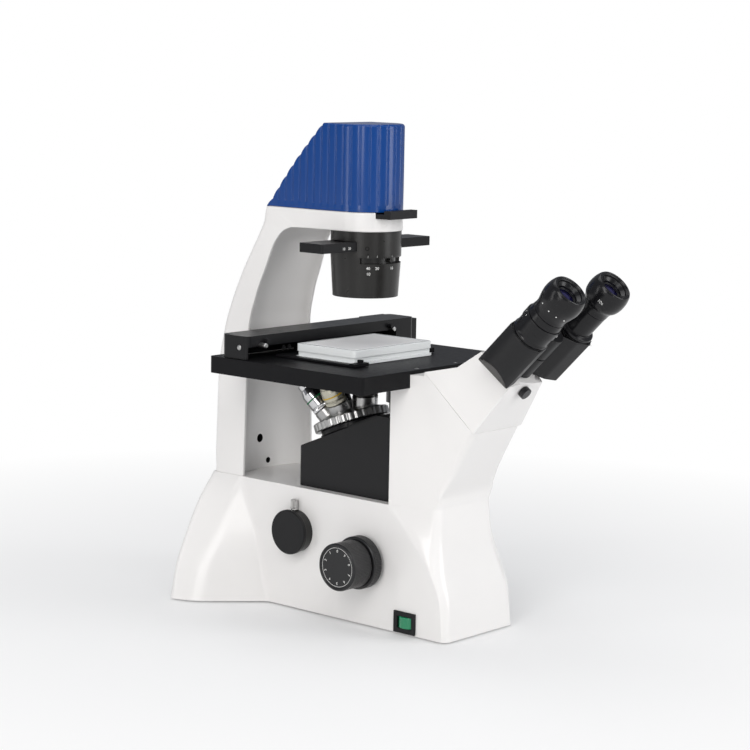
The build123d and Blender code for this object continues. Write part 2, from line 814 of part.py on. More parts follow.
def add_condenser():
    """Condenser barrel with its lens, the aperture ring in its slot and the phase slider."""
    top = head_low - seat_gap
    up = Plane(origin=(0, 0, 0))
    barrel = lathe(up, [(condenser_lip_r, barrel_low), (barrel_low_r, barrel_low),
                        (barrel_top_r, barrel_flare_z), (barrel_top_r, top), (condenser_lip_r, top)])
    barrel -= rod((0, 0, barrel_low + condenser_lip), (0, 0, 1), barrel_bore_r, top)
    room_low = ring_low - flat_gap
    room_high = ring_high + flat_gap
    barrel -= rod((0, 0, room_low), (0, 0, 1), ring_room_r, room_high - room_low)
    reach = barrel_top_r * 2
    side_x = reach * math.sin(math.radians(ring_slot_half))
    side_y = -reach * math.cos(math.radians(ring_slot_half))
    sector = make_face([Line((0, 0), (-side_x, side_y)),
                        ThreePointArc((-side_x, side_y), (0, -reach), (side_x, side_y)),
                        Line((side_x, side_y), (0, 0))])
    barrel -= Pos(0, 0, ring_low) * extrude(sector, ring_high - ring_low)
    wide = slider_half_wide + flat_gap
    barrel -= block(-barrel_top_r - overrun, barrel_top_r + overrun, -wide, wide, slider_low - flat_gap,
                    slider_high + flat_gap)
    place = math.radians(270 - set_screw_angle)
    barrel -= rod((math.cos(place) * (barrel_top_r - rib_depth * 2), math.sin(place)
                   * (barrel_top_r - rib_depth * 2), set_screw_z), (math.cos(place), math.sin(place), 0),
                  set_screw_r, barrel_top_r)
    nodes["condenser_barrel"] = barrel
    lens = rod((0, 0, condenser_lens_low), (0, 0, 1), condenser_lens_r, condenser_lens_high
               - condenser_lens_low)
    dome = (condenser_lens_high - condenser_lens_low) / 2
    sphere_r = (condenser_lens_r ** 2 + dome ** 2) / (2 * dome)
    lens &= Pos(0, 0, condenser_lens_high - sphere_r) * Sphere(sphere_r)
    nodes["condenser_lens"] = lens
    ring = lathe(up, [(ring_in_r, ring_low), (ring_out_r, ring_low), (ring_out_r, ring_high),
                      (ring_in_r, ring_high)])
    middle = (ring_low + ring_high) / 2
    ring += rod((0, -ring_out_r + overrun, middle), (0, -1, 0), lever_r, lever_reach - ring_out_r)
    nodes["aperture_ring"] = ring
    slider = rounded_block(-slider_half_long, slider_half_long, -slider_half_wide, slider_half_wide,
                           slider_low, slider_high, lever_r)
    for step in (-1, 0, 1):
        slider -= rod((step * slider_hole_pitch, 0, slider_low - overrun), (0, 0, 1), slider_hole_r,
                      slider_high - slider_low + overrun * 2)
    nodes["phase_slider"] = slider


def add_stage():
    """Stage plate with its round opening, the insert, the bracket and the side rail."""
    plate = rounded_block(-stage_half_x, stage_half_x, stage_front, stage_back, stage_low, stage_top,
                          stage_corner)
    plate -= rod((0, 0, stage_low - overrun), (0, 0, 1), stage_open_r, stage_top)
    plate -= rod((0, 0, stage_top - insert_thick - seat_gap), (0, 0, 1), insert_r + seat_gap, stage_top)
    for side in (-1, 1):
        head_z = stage_top - stage_screw_head
        plate -= rod((side * stage_screw_x, stage_screw_y, head_z - seat_gap), (0, 0, 1), stage_screw_r
                     + seat_gap, stage_screw_head + overrun)
        plate -= rod((side * stage_screw_x, stage_screw_y, head_z - stage_screw_length - seat_gap),
                     (0, 0, 1), screw_r + shaft_gap, stage_screw_length + overrun)
    nodes["stage_plate"] = plate
    insert = rod((0, 0, stage_top - insert_thick), (0, 0, 1), insert_r, insert_thick)
    insert -= rod((0, 0, stage_low), (0, 0, 1), insert_hole_r, stage_top)
    nodes["stage_insert"] = insert
    bracket = block(-bracket_half, bracket_half, bracket_front, pad_y - seat_gap, stage_low - seat_gap
                    - bracket_thick, stage_low - seat_gap)
    nodes["stage_bracket"] = bracket
    left = stage_half_x + seat_gap
    nodes["stage_rail"] = block(left, left + rail_thick, -rail_half_y, rail_half_y, rail_low, rail_high)


def add_cross_carriage():
    """Cross bar with the end block that hangs over the stage edge, and its coaxial drive knobs."""
    bar = rounded_block(bar_left, bar_right, bar_front, bar_back, bar_low, bar_high, bar_corner)
    slot_z = bar_high - bar_wall
    bar -= block(bar_left + bar_wall, block_left - bar_wall, bar_front - overrun, bar_back - bar_wall, bar_low
                 - overrun, bar_low + holder_tongue - bar_corner)
    bar += block(block_left, block_right, bar_front + bar_corner, block_back, bar_low, slot_z)
    rail_room = stage_half_x + seat_gap + rail_thick + flat_gap
    bar += block(rail_room, block_right, bar_front + bar_corner, block_back, block_low, bar_low + overrun)
    for x in guide_pin_xs:
        bar += rod((x, bar_front + bar_wall, bar_high - bar_corner), (0, -1, 0), guide_pin_r,
                   guide_pin_long)
    shaft_x = drive_x
    bar -= rod((shaft_x, drive_y, block_low - overrun), (0, 0, 1), y_shaft_r + shaft_gap, y_shaft_top
               - block_low + overrun + flat_gap)
    bar -= rod((shaft_x, drive_y, block_low), (0, 0, 1), x_shaft_r + shaft_gap, x_shaft_top - block_low
               + flat_gap)
    nodes["cross_carriage"] = bar
    upper = rod((shaft_x, drive_y, y_knob_low), (0, 0, 1), y_knob_r, y_knob_high - y_knob_low)
    upper += rod((shaft_x, drive_y, y_knob_high - overrun), (0, 0, 1), y_shaft_r, y_shaft_top - y_knob_high
                 + overrun)
    upper -= rod((shaft_x, drive_y, y_knob_low - overrun), (0, 0, 1), x_shaft_r + shaft_gap, y_shaft_top)
    nodes["stage_y_knob"] = upper
    lower = rod((shaft_x, drive_y, x_knob_low), (0, 0, 1), x_knob_r, x_knob_tall)
    lower += rod((shaft_x, drive_y, x_knob_low), (0, 0, 1), x_shaft_r, x_shaft_top - x_knob_low)
    nodes["stage_x_knob"] = lower


def add_plate_holder():
    """Frame that carries the well plate along the cross bar."""
    half_x = well_plate_x / 2 + flat_gap
    half_y = well_plate_y / 2 + flat_gap
    low = holder_low
    high = low + holder_thick
    left = holder_x - half_x
    right = holder_x + half_x
    front = holder_y - half_y
    back = holder_y + half_y
    frame = block(left - holder_arm, right + holder_arm, back, bar_front - flat_gap, low, high)
    frame += block(left - holder_arm, left, front - holder_arm, back + overrun, low, high)
    frame += block(right, right + holder_arm, front + holder_hook, back + overrun, low, high)
    frame += block(left - holder_arm, left + holder_hook, front - holder_arm, front, low, high + holder_lip)
    frame += block(right, right + holder_arm * 2, front + holder_hook, front + holder_hook * 2, low, high
                   + holder_lip / 2)
    frame += block(holder_x - holder_block_half, holder_x + holder_block_half, back + holder_arm / 2,
                   bar_front + holder_tongue, low, bar_low + holder_tongue - bar_corner - flat_gap)
    nodes["plate_holder"] = frame


def add_well_plate():
    """Well plate with its rows of wells, and the lid over it."""
    low = holder_low
    half_x = well_plate_x / 2
    half_y = well_plate_y / 2
    inset = well_body_inset
    plate = rounded_block(holder_x - half_x, holder_x + half_x, holder_y - half_y, holder_y + half_y, low,
                          low + well_flange_high, well_corner)
    plate += rounded_block(holder_x - half_x + inset, holder_x + half_x - inset, holder_y - half_y + inset,
                           holder_y + half_y - inset, low, low + well_plate_high, well_corner)
    well = Pos(holder_x, holder_y, low + well_plate_high - well_deep) * Cylinder(
        well_r, well_deep + overrun, align=(Align.CENTER, Align.CENTER, Align.MIN))
    places = GridLocations(well_pitch, well_pitch, well_columns, well_rows)
    nodes["well_plate"] = plate - [place * well for place in places]
    top = low + well_plate_high + flat_gap + lid_wall
    outer = lid_inset
    room = inset - flat_gap
    lid = rounded_block(holder_x - half_x + outer - lid_wall / 2, holder_x + half_x - outer + lid_wall / 2,
                        holder_y - half_y + outer - lid_wall / 2, holder_y + half_y - outer + lid_wall / 2,
                        top - lid_skirt, top, well_corner)
    lid -= rounded_block(holder_x - half_x + room, holder_x + half_x - room, holder_y - half_y + room,
                         holder_y + half_y - room, top - lid_skirt - overrun, top - lid_wall, well_corner)
    nodes["well_plate_lid"] = lid


def add_focus_housing():
    """Black housing round the focus carriage, its top cut along the turret's tilt."""
    low = base_top + seat_gap
    slope = math.tan(tilt)
    top_at_axis = apex_z + housing_top_t / math.cos(tilt)

    def top_at(y):
        """Height of the slanted top."""
        return top_at_axis - slope * y

    shape = rounded_block(-housing_half, housing_half, housing_front, housing_back, low,
                          top_at(housing_front) + overrun, housing_corner)
    step = top_at(housing_step_y)
    keep = slab([(housing_front, low), (housing_front, step), (housing_step_y, step),
                 (housing_back, top_at(housing_back)), (housing_back, low)], housing_half)
    inner = housing_half - housing_wall
    shape &= keep
    shape -= slab([(housing_front + housing_wall, low - overrun), (housing_front + housing_wall, step
                  - housing_wall), (housing_step_y, step - housing_wall),
                  (housing_back - housing_wall, top_at(housing_back) - housing_wall),
                  (housing_back - housing_wall, low - overrun)], inner)
    room = carriage_half + carriage_room
    shape -= block(-room, room, carriage_front - overrun, carriage_back + flat_gap, low, top_at(housing_front)
                   + overrun)
    shape -= beam(-beam_length(), 0, beam_r)
    nodes["focus_housing"] = shape
    rail = block(-guide_half, guide_half, carriage_back + flat_gap, housing_back - housing_wall - seat_gap,
                 guide_low, guide_high)
    nodes["focus_guide"] = rail


def add_focus_carriage():
    """Carriage with its side plates, the tilted head under the turret, and the rack."""
    under = apex_z + (carriage_head_t + overrun) / math.cos(tilt)
    slope = math.tan(tilt)
    back_top = under - slope * carriage_back
    sides = slab([(carriage_front, carriage_low), (carriage_front, under - slope * carriage_front),
                  (carriage_back, back_top), (carriage_back, carriage_low)], carriage_half)
    inner = carriage_half - carriage_wall
    sides -= block(-inner, inner, carriage_front + carriage_wall, carriage_back - carriage_wall, carriage_low
                   - overrun, under - slope * carriage_front + overrun)
    sides -= block(-inner, inner, carriage_front - overrun, carriage_front + carriage_wall + overrun,
                   carriage_front_top, under - slope * carriage_front + overrun)
    head = rod(apex + turret_axis * carriage_head_t, turret_axis, carriage_head_r, carriage_head_thick)
    head += rod(apex + turret_axis * (carriage_head_t + carriage_head_thick - overrun), turret_axis,
                turret_pin_r, turret_thick / 2 + overrun)
    carriage = sides + head
    carriage -= rod((0, 0, carriage_low - overrun), (0, 0, 1), light_r, stage_low)
    nodes["focus_carriage"] = carriage
    pitch = 2 * math.pi * pinion_r / pinion_teeth
    face = knob_y + pinion_r + flat_gap
    points = [(carriage_front - seat_gap, rack_low)]
    height = rack_low
    while height + pitch <= rack_high:
        points += [(face + tooth_deep, height), (face, height + pitch / 4), (face, height + pitch / 2),
                   (face + tooth_deep, height + pitch * 3 / 4)]
        height += pitch
    points += [(face + tooth_deep, rack_high), (carriage_front - seat_gap, rack_high)]
    nodes["focus_rack"] = slab(points, rack_half)


def add_turret():
    """Nosepiece turret with a knurled rim and five tilted bosses."""
    disc = rod(apex + turret_axis * turret_t, turret_axis, turret_r, turret_rim)
    narrow = turret_r - turret_flute_r * 2
    disc += lathe(turret_frame(turret_t + turret_rim - overrun),
                  [(0, 0), (turret_r - turret_flute_r, 0), (turret_r - turret_flute_r, overrun),
                   (narrow * 2 / 3, turret_thick - turret_rim + overrun), (0, turret_thick - turret_rim
                                                                           + overrun)])
    for number in range(turret_flutes):
        angle = 2 * math.pi * number / turret_flutes
        frame = turret_frame(turret_t - overrun)
        groove = Pos(turret_r * math.cos(angle), turret_r * math.sin(angle), 0) * Cylinder(
            turret_flute_r / 2, turret_rim + overrun * 2, align=(Align.CENTER, Align.CENTER, Align.MIN))
        disc -= frame * groove
    for number in range(objective_count):
        axis = objective_axis(number)
        disc += rod(apex + axis * (turret_t + turret_rim), axis, boss_r, boss_end - turret_t - turret_rim)
    for number in range(objective_count):
        axis = objective_axis(number)
        disc -= rod(apex + axis * carriage_head_t, axis, light_r, boss_end)
    disc -= rod(apex + turret_axis * (turret_t - overrun), turret_axis, turret_pin_r + shaft_gap,
                turret_thick / 2 + overrun + flat_gap)
    nodes["nosepiece_turret"] = disc


def objective_axis(number):
    """Direction of one objective, on the cone round the turret axis. Number 0 is the vertical one."""
    turn = 2 * math.pi * number / objective_count
    vertical = Vector(0, 0, 1)
    return vertical.rotate(Axis((0, 0, 0), tuple(turret_axis)), math.degrees(turn))


def add_objectives():
    """Objectives: a body with a stepped, coned tip, seated on its boss."""
    for number, (name, (length, body_r, tip_r, lens_r)) in enumerate(objective_shapes.items()):
        axis = objective_axis(number)
        frame = Plane(origin=apex + axis * (boss_end + seat_gap), x_dir=(1, 0, 0), z_dir=axis)
        shoulder = length * objective_shoulder_share
        cone = length * objective_cone_share
        nodes[name] = lathe(frame, [
            (lens_r, 0), (body_r, 0), (body_r, shoulder), (tip_r, cone), (tip_r, length - tip_edge),
            (tip_r - tip_edge, length), (lens_r, length)])


def add_focus_drive():
    """Coarse shaft with its pinion, fine shaft, both pairs of knobs and the tension ring."""
    across = Plane(origin=(0, knob_y, knob_z), x_dir=(0, 1, 0), z_dir=(1, 0, 0))
    reach = coarse_out - knob_cup
    shaft = across * Cylinder(coarse_shaft_r, 2 * reach)
    outline = []
    for tooth in range(pinion_teeth):
        for step, radius in ((0.0, pinion_r - tooth_deep / 2), (0.25, pinion_r), (0.5, pinion_r),
                             (0.75, pinion_r - tooth_deep / 2)):
            angle = 2 * math.pi * (tooth + step) / pinion_teeth
            outline.append((radius * math.cos(angle), radius * math.sin(angle)))
    teeth = make_face(Polyline(outline, close=True))
    shaft += across * Pos(0, 0, -pinion_half) * extrude(teeth, 2 * pinion_half)
    shaft -= across * Cylinder(fine_shaft_r + shaft_gap, 2 * coarse_out)
    nodes["coarse_shaft"] = shaft
    for name, side in (("left", -1), ("right", 1)):
        face = Plane(origin=(0, knob_y, knob_z), x_dir=(0, 1, 0), z_dir=(side, 0, 0))
        coarse = lathe(face, [
            (coarse_shaft_r + shaft_gap, coarse_in), (coarse_r - knob_edge, coarse_in),
            (coarse_r, coarse_in + knob_edge), (coarse_r, coarse_out - knob_edge),
            (coarse_r - knob_edge, coarse_out), (coarse_shaft_r + shaft_gap, coarse_out)])
        nodes[f"coarse_knob_{name}"] = coarse
        fine = lathe(face, [
            (0, fine_in), (fine_r, fine_in), (fine_r, fine_out - knob_edge), (fine_r - knob_edge, fine_out),
            (fine_r - knob_cup, fine_out), (fine_r - knob_cup, fine_out - dial_recess),
            (0, fine_out - dial_recess)])
        if side > 0:
            fine -= across * Pos(0, 0, fine_in - overrun) * Cylinder(
                fine_shaft_r + shaft_gap, (fine_out - fine_in) / 2 + overrun,
                align=(Align.CENTER, Align.CENTER, Align.MIN))
        else:
            fine += across * Pos(0, 0, -fine_in - overrun) * Cylinder(
                fine_shaft_r, 2 * fine_in + overrun + (fine_out - fine_in) / 2 - flat_gap * 2,
                align=(Align.CENTER, Align.CENTER, Align.MIN))
        nodes[f"fine_knob_{name}"] = fine
    ring = lathe(Plane(origin=(0, knob_y, knob_z), x_dir=(0, 1, 0), z_dir=(1, 0, 0)),
                 [(boss_out_r + shaft_gap, side_half + flat_gap), (tension_r, side_half + flat_gap),
                  (tension_r, boss_reach), (boss_out_r + shaft_gap, boss_reach)])
    nodes["tension_ring"] = ring


def add_port():
    """Camera port: collar in the left wall, its cap and the thumbscrew on the collar."""
    out = Plane(origin=(0, port_y, port_z), x_dir=(0, 1, 0), z_dir=(-1, 0, 0))
    wall_in = side_half - base_wall
    collar = lathe(out, [(collar_bore_r, wall_in), (collar_spigot_r, wall_in), (collar_spigot_r, side_half
                                                                               + seat_gap),
                         (collar_r, side_half + seat_gap), (collar_r, collar_out), (collar_bore_r, collar_out)])
    screw_x = -(side_half + collar_out) / 2
    hole_z = port_z + collar_r - port_screw_shank
    collar -= rod((screw_x, port_y, hole_z - flat_gap), (0, 0, 1), port_screw_shank_r + shaft_gap,
                  port_screw_shank + overrun)
    nodes["port_collar"] = collar
    cap = lathe(out, [(0, collar_out - port_cap_spigot), (collar_bore_r - shaft_gap, collar_out
                                                          - port_cap_spigot),
                      (collar_bore_r - shaft_gap, collar_out + flat_gap), (port_cap_r, collar_out + flat_gap),
                      (port_cap_r, port_cap_out), (0, port_cap_out)])
    nodes["port_cap"] = cap
    base = port_z + collar_r + flat_gap
    screw = rod((screw_x, port_y, base), (0, 0, 1), port_screw_r, port_screw_high)
    screw += rod((screw_x, port_y, hole_z), (0, 0, 1), port_screw_shank_r, port_screw_shank + overrun)
    nodes["port_screw"] = screw


def add_power():
    """Switch with its rocker, brightness dial, mains inlet and power board."""
    face = -side_half - seat_gap
    bezel = block(face - switch_flange, face, switch_y - switch_half, switch_y + switch_half, switch_low,
                  switch_high)
    bezel += block(face - overrun, face + switch_body_deep, switch_y - switch_body_half, switch_y
                   + switch_body_half, switch_low + switch_flange + seat_gap, switch_high - switch_flange
                   - seat_gap)
    middle = (switch_low + switch_high) / 2
    room_y = rocker_half + flat_gap
    room_z = rocker_high / 2 + flat_gap
    bezel -= block(face - switch_flange - overrun, face + switch_body_deep / 2, switch_y - room_y, switch_y
                   + room_y, middle - room_z, middle + room_z)
    nodes["switch_bezel"] = bezel
    front = face - switch_flange - rocker_proud
    pivot = front + rocker_r
    rocker = rod((pivot, switch_y, middle - rocker_high / 2), (0, 0, 1), rocker_r, rocker_high)
    wide = rocker_half - rocker_side_gap
    rocker &= block(front, face + switch_body_deep / 4, switch_y - wide, switch_y + wide,
                    middle - rocker_high, middle + rocker_high)
    nodes["power_rocker"] = rocker
    knob = rod((side_half + flat_gap, dial_y, dial_z), (1, 0, 0), dial_r, dial_out - side_half - flat_gap)
    knob += rod((dial_shaft_in, dial_y, dial_z), (1, 0, 0), dial_shaft_r, dial_out - dial_shaft_in
                - overrun)
    nodes["brightness_dial"] = knob
    back = rear_y + seat_gap
    inlet = block(inlet_x - inlet_half, inlet_x + inlet_half, back, back + inlet_flange, inlet_z
                  - inlet_high_half, inlet_z + inlet_high_half)
    inlet += block(inlet_x - inlet_body_half, inlet_x + inlet_body_half, back - inlet_deep, back + overrun,
                   inlet_z - inlet_body_high, inlet_z + inlet_body_high)
    inlet -= block(inlet_x - inlet_socket_half, inlet_x + inlet_socket_half, back + inlet_flange
                   - inlet_socket_deep, back + inlet_flange + overrun, inlet_z - inlet_socket_high, inlet_z
                   + inlet_socket_high)
    for step in (-1, 0, 1):
        x = inlet_x + step * inlet_pin_pitch
        z = inlet_z + (inlet_pin_tall if step == 0 else -inlet_pin_tall)
        inlet += block(x - inlet_pin_half, x + inlet_pin_half, back - inlet_socket_deep, back
                       - inlet_pin_tall, z - inlet_pin_tall, z + inlet_pin_tall)
    nodes["power_inlet"] = inlet
    board = block(-board_half, board_half, board_front, board_back, board_z, board_z + board_thick)
    floor = foot_height + plate_thick + seat_gap
    for x in (-board_half, board_half):
        for y in (board_front, board_back):
            inward = board_post_r if x < 0 else -board_post_r
            ahead = board_post_r if y == board_front else -board_post_r
            board += rod((x + inward, y + ahead, floor), (0, 0, 1), board_post_r, board_z - floor + overrun)
    long, wide, high = transformer_size
    top = board_z + board_thick
    board += block(-board_half + board_post_r, -board_half + board_post_r + long, board_front + board_post_r
                   * 2, board_front + board_post_r * 2 + wide, top - overrun, top + high)
    for number in range(capacitor_count):
        y = board_front + capacitor_start + number * capacitor_pitch
        board += rod((board_half - capacitor_start, y, top - overrun), (0, 0, 1), capacitor_r,
                     capacitor_high)
    nodes["power_board"] = board


def add_mirror():
    """Relay mirror that turns the light to the head, on a post from the bottom plate."""
    lean = math.radians(turret_tilt)
    normal = Vector(0, -math.sin(lean), math.cos(lean))
    centre = Vector(0, 0, mirror_z)
    nodes["relay_mirror"] = rod(centre - normal * mirror_thick, normal, mirror_r, mirror_thick)
    floor = foot_height + plate_thick + seat_gap
    half = mirror_r * root_half
    holder = block(-half, half, -half, half, floor, mirror_z + mirror_r)
    cut = Plane(origin=centre - normal * (mirror_thick + seat_gap), x_dir=(1, 0, 0), z_dir=normal)
    holder -= cut * Box(mirror_z, mirror_z, mirror_z, align=(Align.CENTER, Align.CENTER, Align.MIN))
    nodes["mirror_holder"] = holder


def mount_plan(up):
    """Plan of the mount at one offset from the head axis. Its sides lean in towards the bottom."""
    lean = mount_lean * (up - mount_high_n)
    wide = mount_half + lean
    narrow = mount_end_half + lean
    return make_face(Polyline([head_point(0, -wide, up), head_point(mount_end, -narrow, up),
                               head_point(mount_end, narrow, up), head_point(0, wide, up)], close=True))


def add_head_mount():
    """White block on the tower's seam, with the round boss and hinge post, and the tube lens in its bore."""
    end_low = head_point(mount_end, 0, mount_low_n)
    end_high = head_point(mount_end, 0, mount_high_n)
    seam = seam_rise + head_gap / root_half
    lower = (seam_front_y(), seam_front_y() + seam)
    upper = (seam_top_y, seam_top_y + seam)
    side = slab([lower, upper, (mount_back_y, mount_back_z), (end_high.Y, end_high.Z), (end_low.Y, end_low.Z)],
                side_half)
    mount = side & loft([mount_plan(-side_half), mount_plan(side_half)], ruled=True)
    mount += beam(mount_end - overrun, boss_end_d, boss_ring_r)
    mount -= beam(-overrun, mount_bore_deep, mount_bore_r)
    mount -= beam(0, mount_end - mount_wall, mount_light_r)
    mount += beam(mount_end - overrun, hinge_end, hinge_r)
    lock_base = head_point(lock_d, 0, under_face(lock_d))
    normal = under_normal()
    mount -= rod(lock_base - normal * lock_shank, normal, lock_shank_r + shaft_gap, lock_shank * 2)
    nodes["head_mount"] = mount
    lens = beam(tube_lens_in, tube_lens_in + tube_lens_thick, tube_lens_r)
    dome = tube_lens_thick / 3
    sphere_r = (tube_lens_r ** 2 + dome ** 2) / (2 * dome)
    lens &= Pos(*head_point(tube_lens_in + tube_lens_thick - sphere_r)) * Sphere(sphere_r)
    nodes["tube_lens"] = lens
    knob = rod(lock_base + normal * flat_gap * 2, normal, lock_r, lock_long)
    knob += rod(lock_base - normal * lock_shank / 2, normal, lock_shank_r, lock_shank)
    nodes["head_lock_knob"] = knob


def seam_front_y():
    """Where the seam meets the tower's front face."""
    low_z, high_z = tower_heights[-3:-1]
    low_y, high_y = tower_fronts[-3:-1]
    slope = (high_y - low_y) / (high_z - low_z)
    return (low_y - slope * (low_z - seam_rise)) / (1 - slope)


def under_face(along):
    """Offset of the mount's lower face from the head axis."""
    start = (seam_front_y() - seam_y) * 2 * root_half
    return start + (mount_low_n - start) * along / mount_end


def under_normal():
    """Outward direction of the mount's lower face."""
    start = (seam_front_y() - seam_y) * 2 * root_half
    rise = (mount_low_n - start) / mount_end
    return (head_axis * rise - head_up).normalized()


def prism_section():
    """Prism housing's outline across the head axis, on the user's right."""
    centre = eye_spacing / 2
    inner = prism_gap
    return [Line((inner, prism_r), (centre, prism_r)),
            ThreePointArc((centre, prism_r), (centre + prism_r, 0), (centre, -prism_r)),
            Line((centre, -prism_r), (prism_knee, -prism_r)),
            Line((prism_knee, -prism_r), (inner, -inner)), Line((inner, -inner), (inner, prism_r))]


def add_binocular():
    """Two prism housings that swing on the hinge post, each with its tube, and the eyepieces."""
    for name, side in (("left", -1), ("right", 1)):
        shape = extrude(make_face(prism_section()), prism_end - prism_start)
        if side < 0:
            shape = mirror(shape, Plane.YZ)
        housing = head_frame(prism_start) * shape
        mine = (prism_start, prism_split - prism_gap / 2)
        other = (prism_split - prism_gap / 2 - knuckle_room, prism_end + overrun)
        if side > 0:
            mine = (prism_split + prism_gap / 2, prism_end)
            other = (prism_start - overrun, prism_split + prism_gap / 2 + knuckle_room)
        housing += beam(mine[0], mine[1], knuckle_r)
        housing -= beam(other[0], other[1], knuckle_r + knuckle_room)
        housing -= beam(prism_start - overrun, prism_end + overrun, hinge_r + shaft_gap)
        across = side * eye_spacing / 2
        tube = lathe(head_frame(0, across), [(0, prism_end - overrun), (tube_ring_r, prism_end - overrun),
                                            (tube_ring_r, tube_ring_end), (tube_r, tube_ring_end),
                                            (tube_r, tube_end), (0, tube_end)])
        if side < 0:
            room = [(tube_r - diopter_groove, diopter_start - flat_gap),
                    (tube_r + overrun, diopter_start - flat_gap),
                    (tube_r + overrun, diopter_end + flat_gap),
                    (tube_r - diopter_groove, diopter_end + flat_gap)]
            tube -= lathe(head_frame(0, across), room)
            ring = lathe(head_frame(0, across), [
                (tube_r - diopter_groove + shaft_gap, diopter_start), (diopter_r, diopter_start),
                (diopter_r, diopter_end), (tube_r - diopter_groove + shaft_gap, diopter_end)])
            nodes["diopter_ring"] = ring
        housing += tube
        housing -= rod(head_point(prism_start + prism_wall, across), head_axis, tube_bore_r, eyepiece_end)
        nodes[f"{name}_prism_housing"] = housing
        add_eyepiece(name, across)


def add_eyepiece(name, across):
    """Eyepiece with its barrel in the tube, its grip and cup, and the eye lens."""
    frame = head_frame(0, across)
    body = lathe(frame, [(eyepiece_barrel_r - prism_wall, eyepiece_barrel_start),
                         (eyepiece_barrel_r, eyepiece_barrel_start), (eyepiece_barrel_r, eyepiece_start),
                         (eyepiece_waist_r, eyepiece_start), (eyepiece_r, eyepiece_start + prism_wall * 2),
                         (eyepiece_r, eyepiece_end - prism_wall * 2), (eyepiece_lip_r, eyepiece_end),
                         (eyepiece_bore_r + overrun, eyepiece_end), (eyepiece_bore_r, eye_lens_start
                                                                    + eye_lens_thick),
                         (eyepiece_bore_r, eye_lens_start - seat_gap),
                         (eyepiece_barrel_r - prism_wall, eye_lens_start - seat_gap)])
    nodes[f"{name}_eyepiece"] = body
    dome = eye_lens_thick / 3
    sphere_r = (eye_lens_r ** 2 + dome ** 2) / (2 * dome)
    lens = rod(head_point(eye_lens_start, across), head_axis, eye_lens_r, eye_lens_thick)
    lens &= Pos(*head_point(eye_lens_start + eye_lens_thick - sphere_r, across)) * Sphere(sphere_r)
    nodes[f"{name}_eye_lens"] = lens


def main():
    """Build every piece and write it."""
    add_base()
    add_bottom()
    add_arm()
    add_lamp_cover()
    add_lamp()
    add_filter_drawer()
    add_condenser()
    add_stage()
    add_cross_carriage()
    add_plate_holder()
    add_well_plate()
    add_focus_housing()
    add_focus_carriage()
    add_turret()
    add_objectives()
    add_focus_drive()
    add_port()
    add_power()
    add_mirror()
    add_head_mount()
    add_binocular()
    os.makedirs("parts", exist_ok=True)
    for name, shape in nodes.items():
        export_step(shape, f"parts/{name}.step")


main()
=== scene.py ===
"""Inverted microscope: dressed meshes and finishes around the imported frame.

Lengths are written in millimetres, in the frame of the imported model: X to the user's right, Y to the
back, Z up, and the origin where the optical axis meets the table.
"""

import json
import logging
import math
from dataclasses import dataclass
from enum import Enum
from typing import Callable, Optional, Sequence

import bmesh
import bpy
import numpy as np
from mathutils import Matrix, Vector


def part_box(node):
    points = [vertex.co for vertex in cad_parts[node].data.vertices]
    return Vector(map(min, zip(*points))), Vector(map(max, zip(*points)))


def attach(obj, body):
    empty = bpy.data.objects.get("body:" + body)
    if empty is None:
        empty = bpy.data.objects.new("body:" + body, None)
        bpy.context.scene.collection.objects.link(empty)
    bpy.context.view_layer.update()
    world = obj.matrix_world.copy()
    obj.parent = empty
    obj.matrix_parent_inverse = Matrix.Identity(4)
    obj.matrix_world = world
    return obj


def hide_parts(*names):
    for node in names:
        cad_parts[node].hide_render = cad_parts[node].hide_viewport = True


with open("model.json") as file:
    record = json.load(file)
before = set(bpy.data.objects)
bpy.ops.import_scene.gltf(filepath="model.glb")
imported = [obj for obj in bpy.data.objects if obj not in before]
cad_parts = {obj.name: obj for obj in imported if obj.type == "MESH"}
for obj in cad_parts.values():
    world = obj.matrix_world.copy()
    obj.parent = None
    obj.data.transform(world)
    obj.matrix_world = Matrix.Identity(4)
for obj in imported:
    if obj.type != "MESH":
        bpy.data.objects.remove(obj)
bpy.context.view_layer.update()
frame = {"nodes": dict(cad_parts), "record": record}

log = logging.getLogger("microscope")
Array = np.ndarray
Rgb = tuple[float, float, float]
Point = tuple[float, float, float]
MM = 0.001
# Distance at which points of a mesh are merged, in metres
MERGE = 2e-6
# Angle under which neighbouring triangles of a CAD node count as one flat face
FLAT = math.radians(0.6)
HALF_ROOT = math.sqrt(0.5)
# Thickness of printed characters, in millimetres
PRINT_THICK = 0.05


# Shader maths and nodes


class Signal:
    """A number in a shader. Python's operators on it add Math nodes."""

    def __init__(self, graph: "Graph", socket: bpy.types.NodeSocket) -> None:
        """Wrap one output socket.

        Args:
            graph: The graph that the socket belongs to.
            socket: Output socket that carries a number.
        """
        self.graph = graph
        self.socket = socket

    def _with(self, operation: str, *values: "Signal | float") -> "Signal":
        """Add a Math node.

        Args:
            operation: Blender's name of the operation.
            *values: Operands in order.

        Returns:
            The result.
        """
        made = self.graph.node("ShaderNodeMath", {"operation": operation}, dict(enumerate(values)))
        return Signal(self.graph, made.outputs[0])

    def __add__(self, other: "Signal | float") -> "Signal":
        """Sum."""
        return self._with("ADD", self, other)

    def __sub__(self, other: "Signal | float") -> "Signal":
        """Difference."""
        return self._with("SUBTRACT", self, other)

    def __rsub__(self, other: float) -> "Signal":
        """Difference from a plain number."""
        return self._with("SUBTRACT", other, self)

    def __mul__(self, other: "Signal | float") -> "Signal":
        """Product."""
        return self._with("MULTIPLY", self, other)

    __radd__ = __add__
    __rmul__ = __mul__

    def clipped(self) -> "Signal":
        """Value held between zero and one."""
        return self._with("MINIMUM", self._with("MAXIMUM", self, 0.0), 1.0)


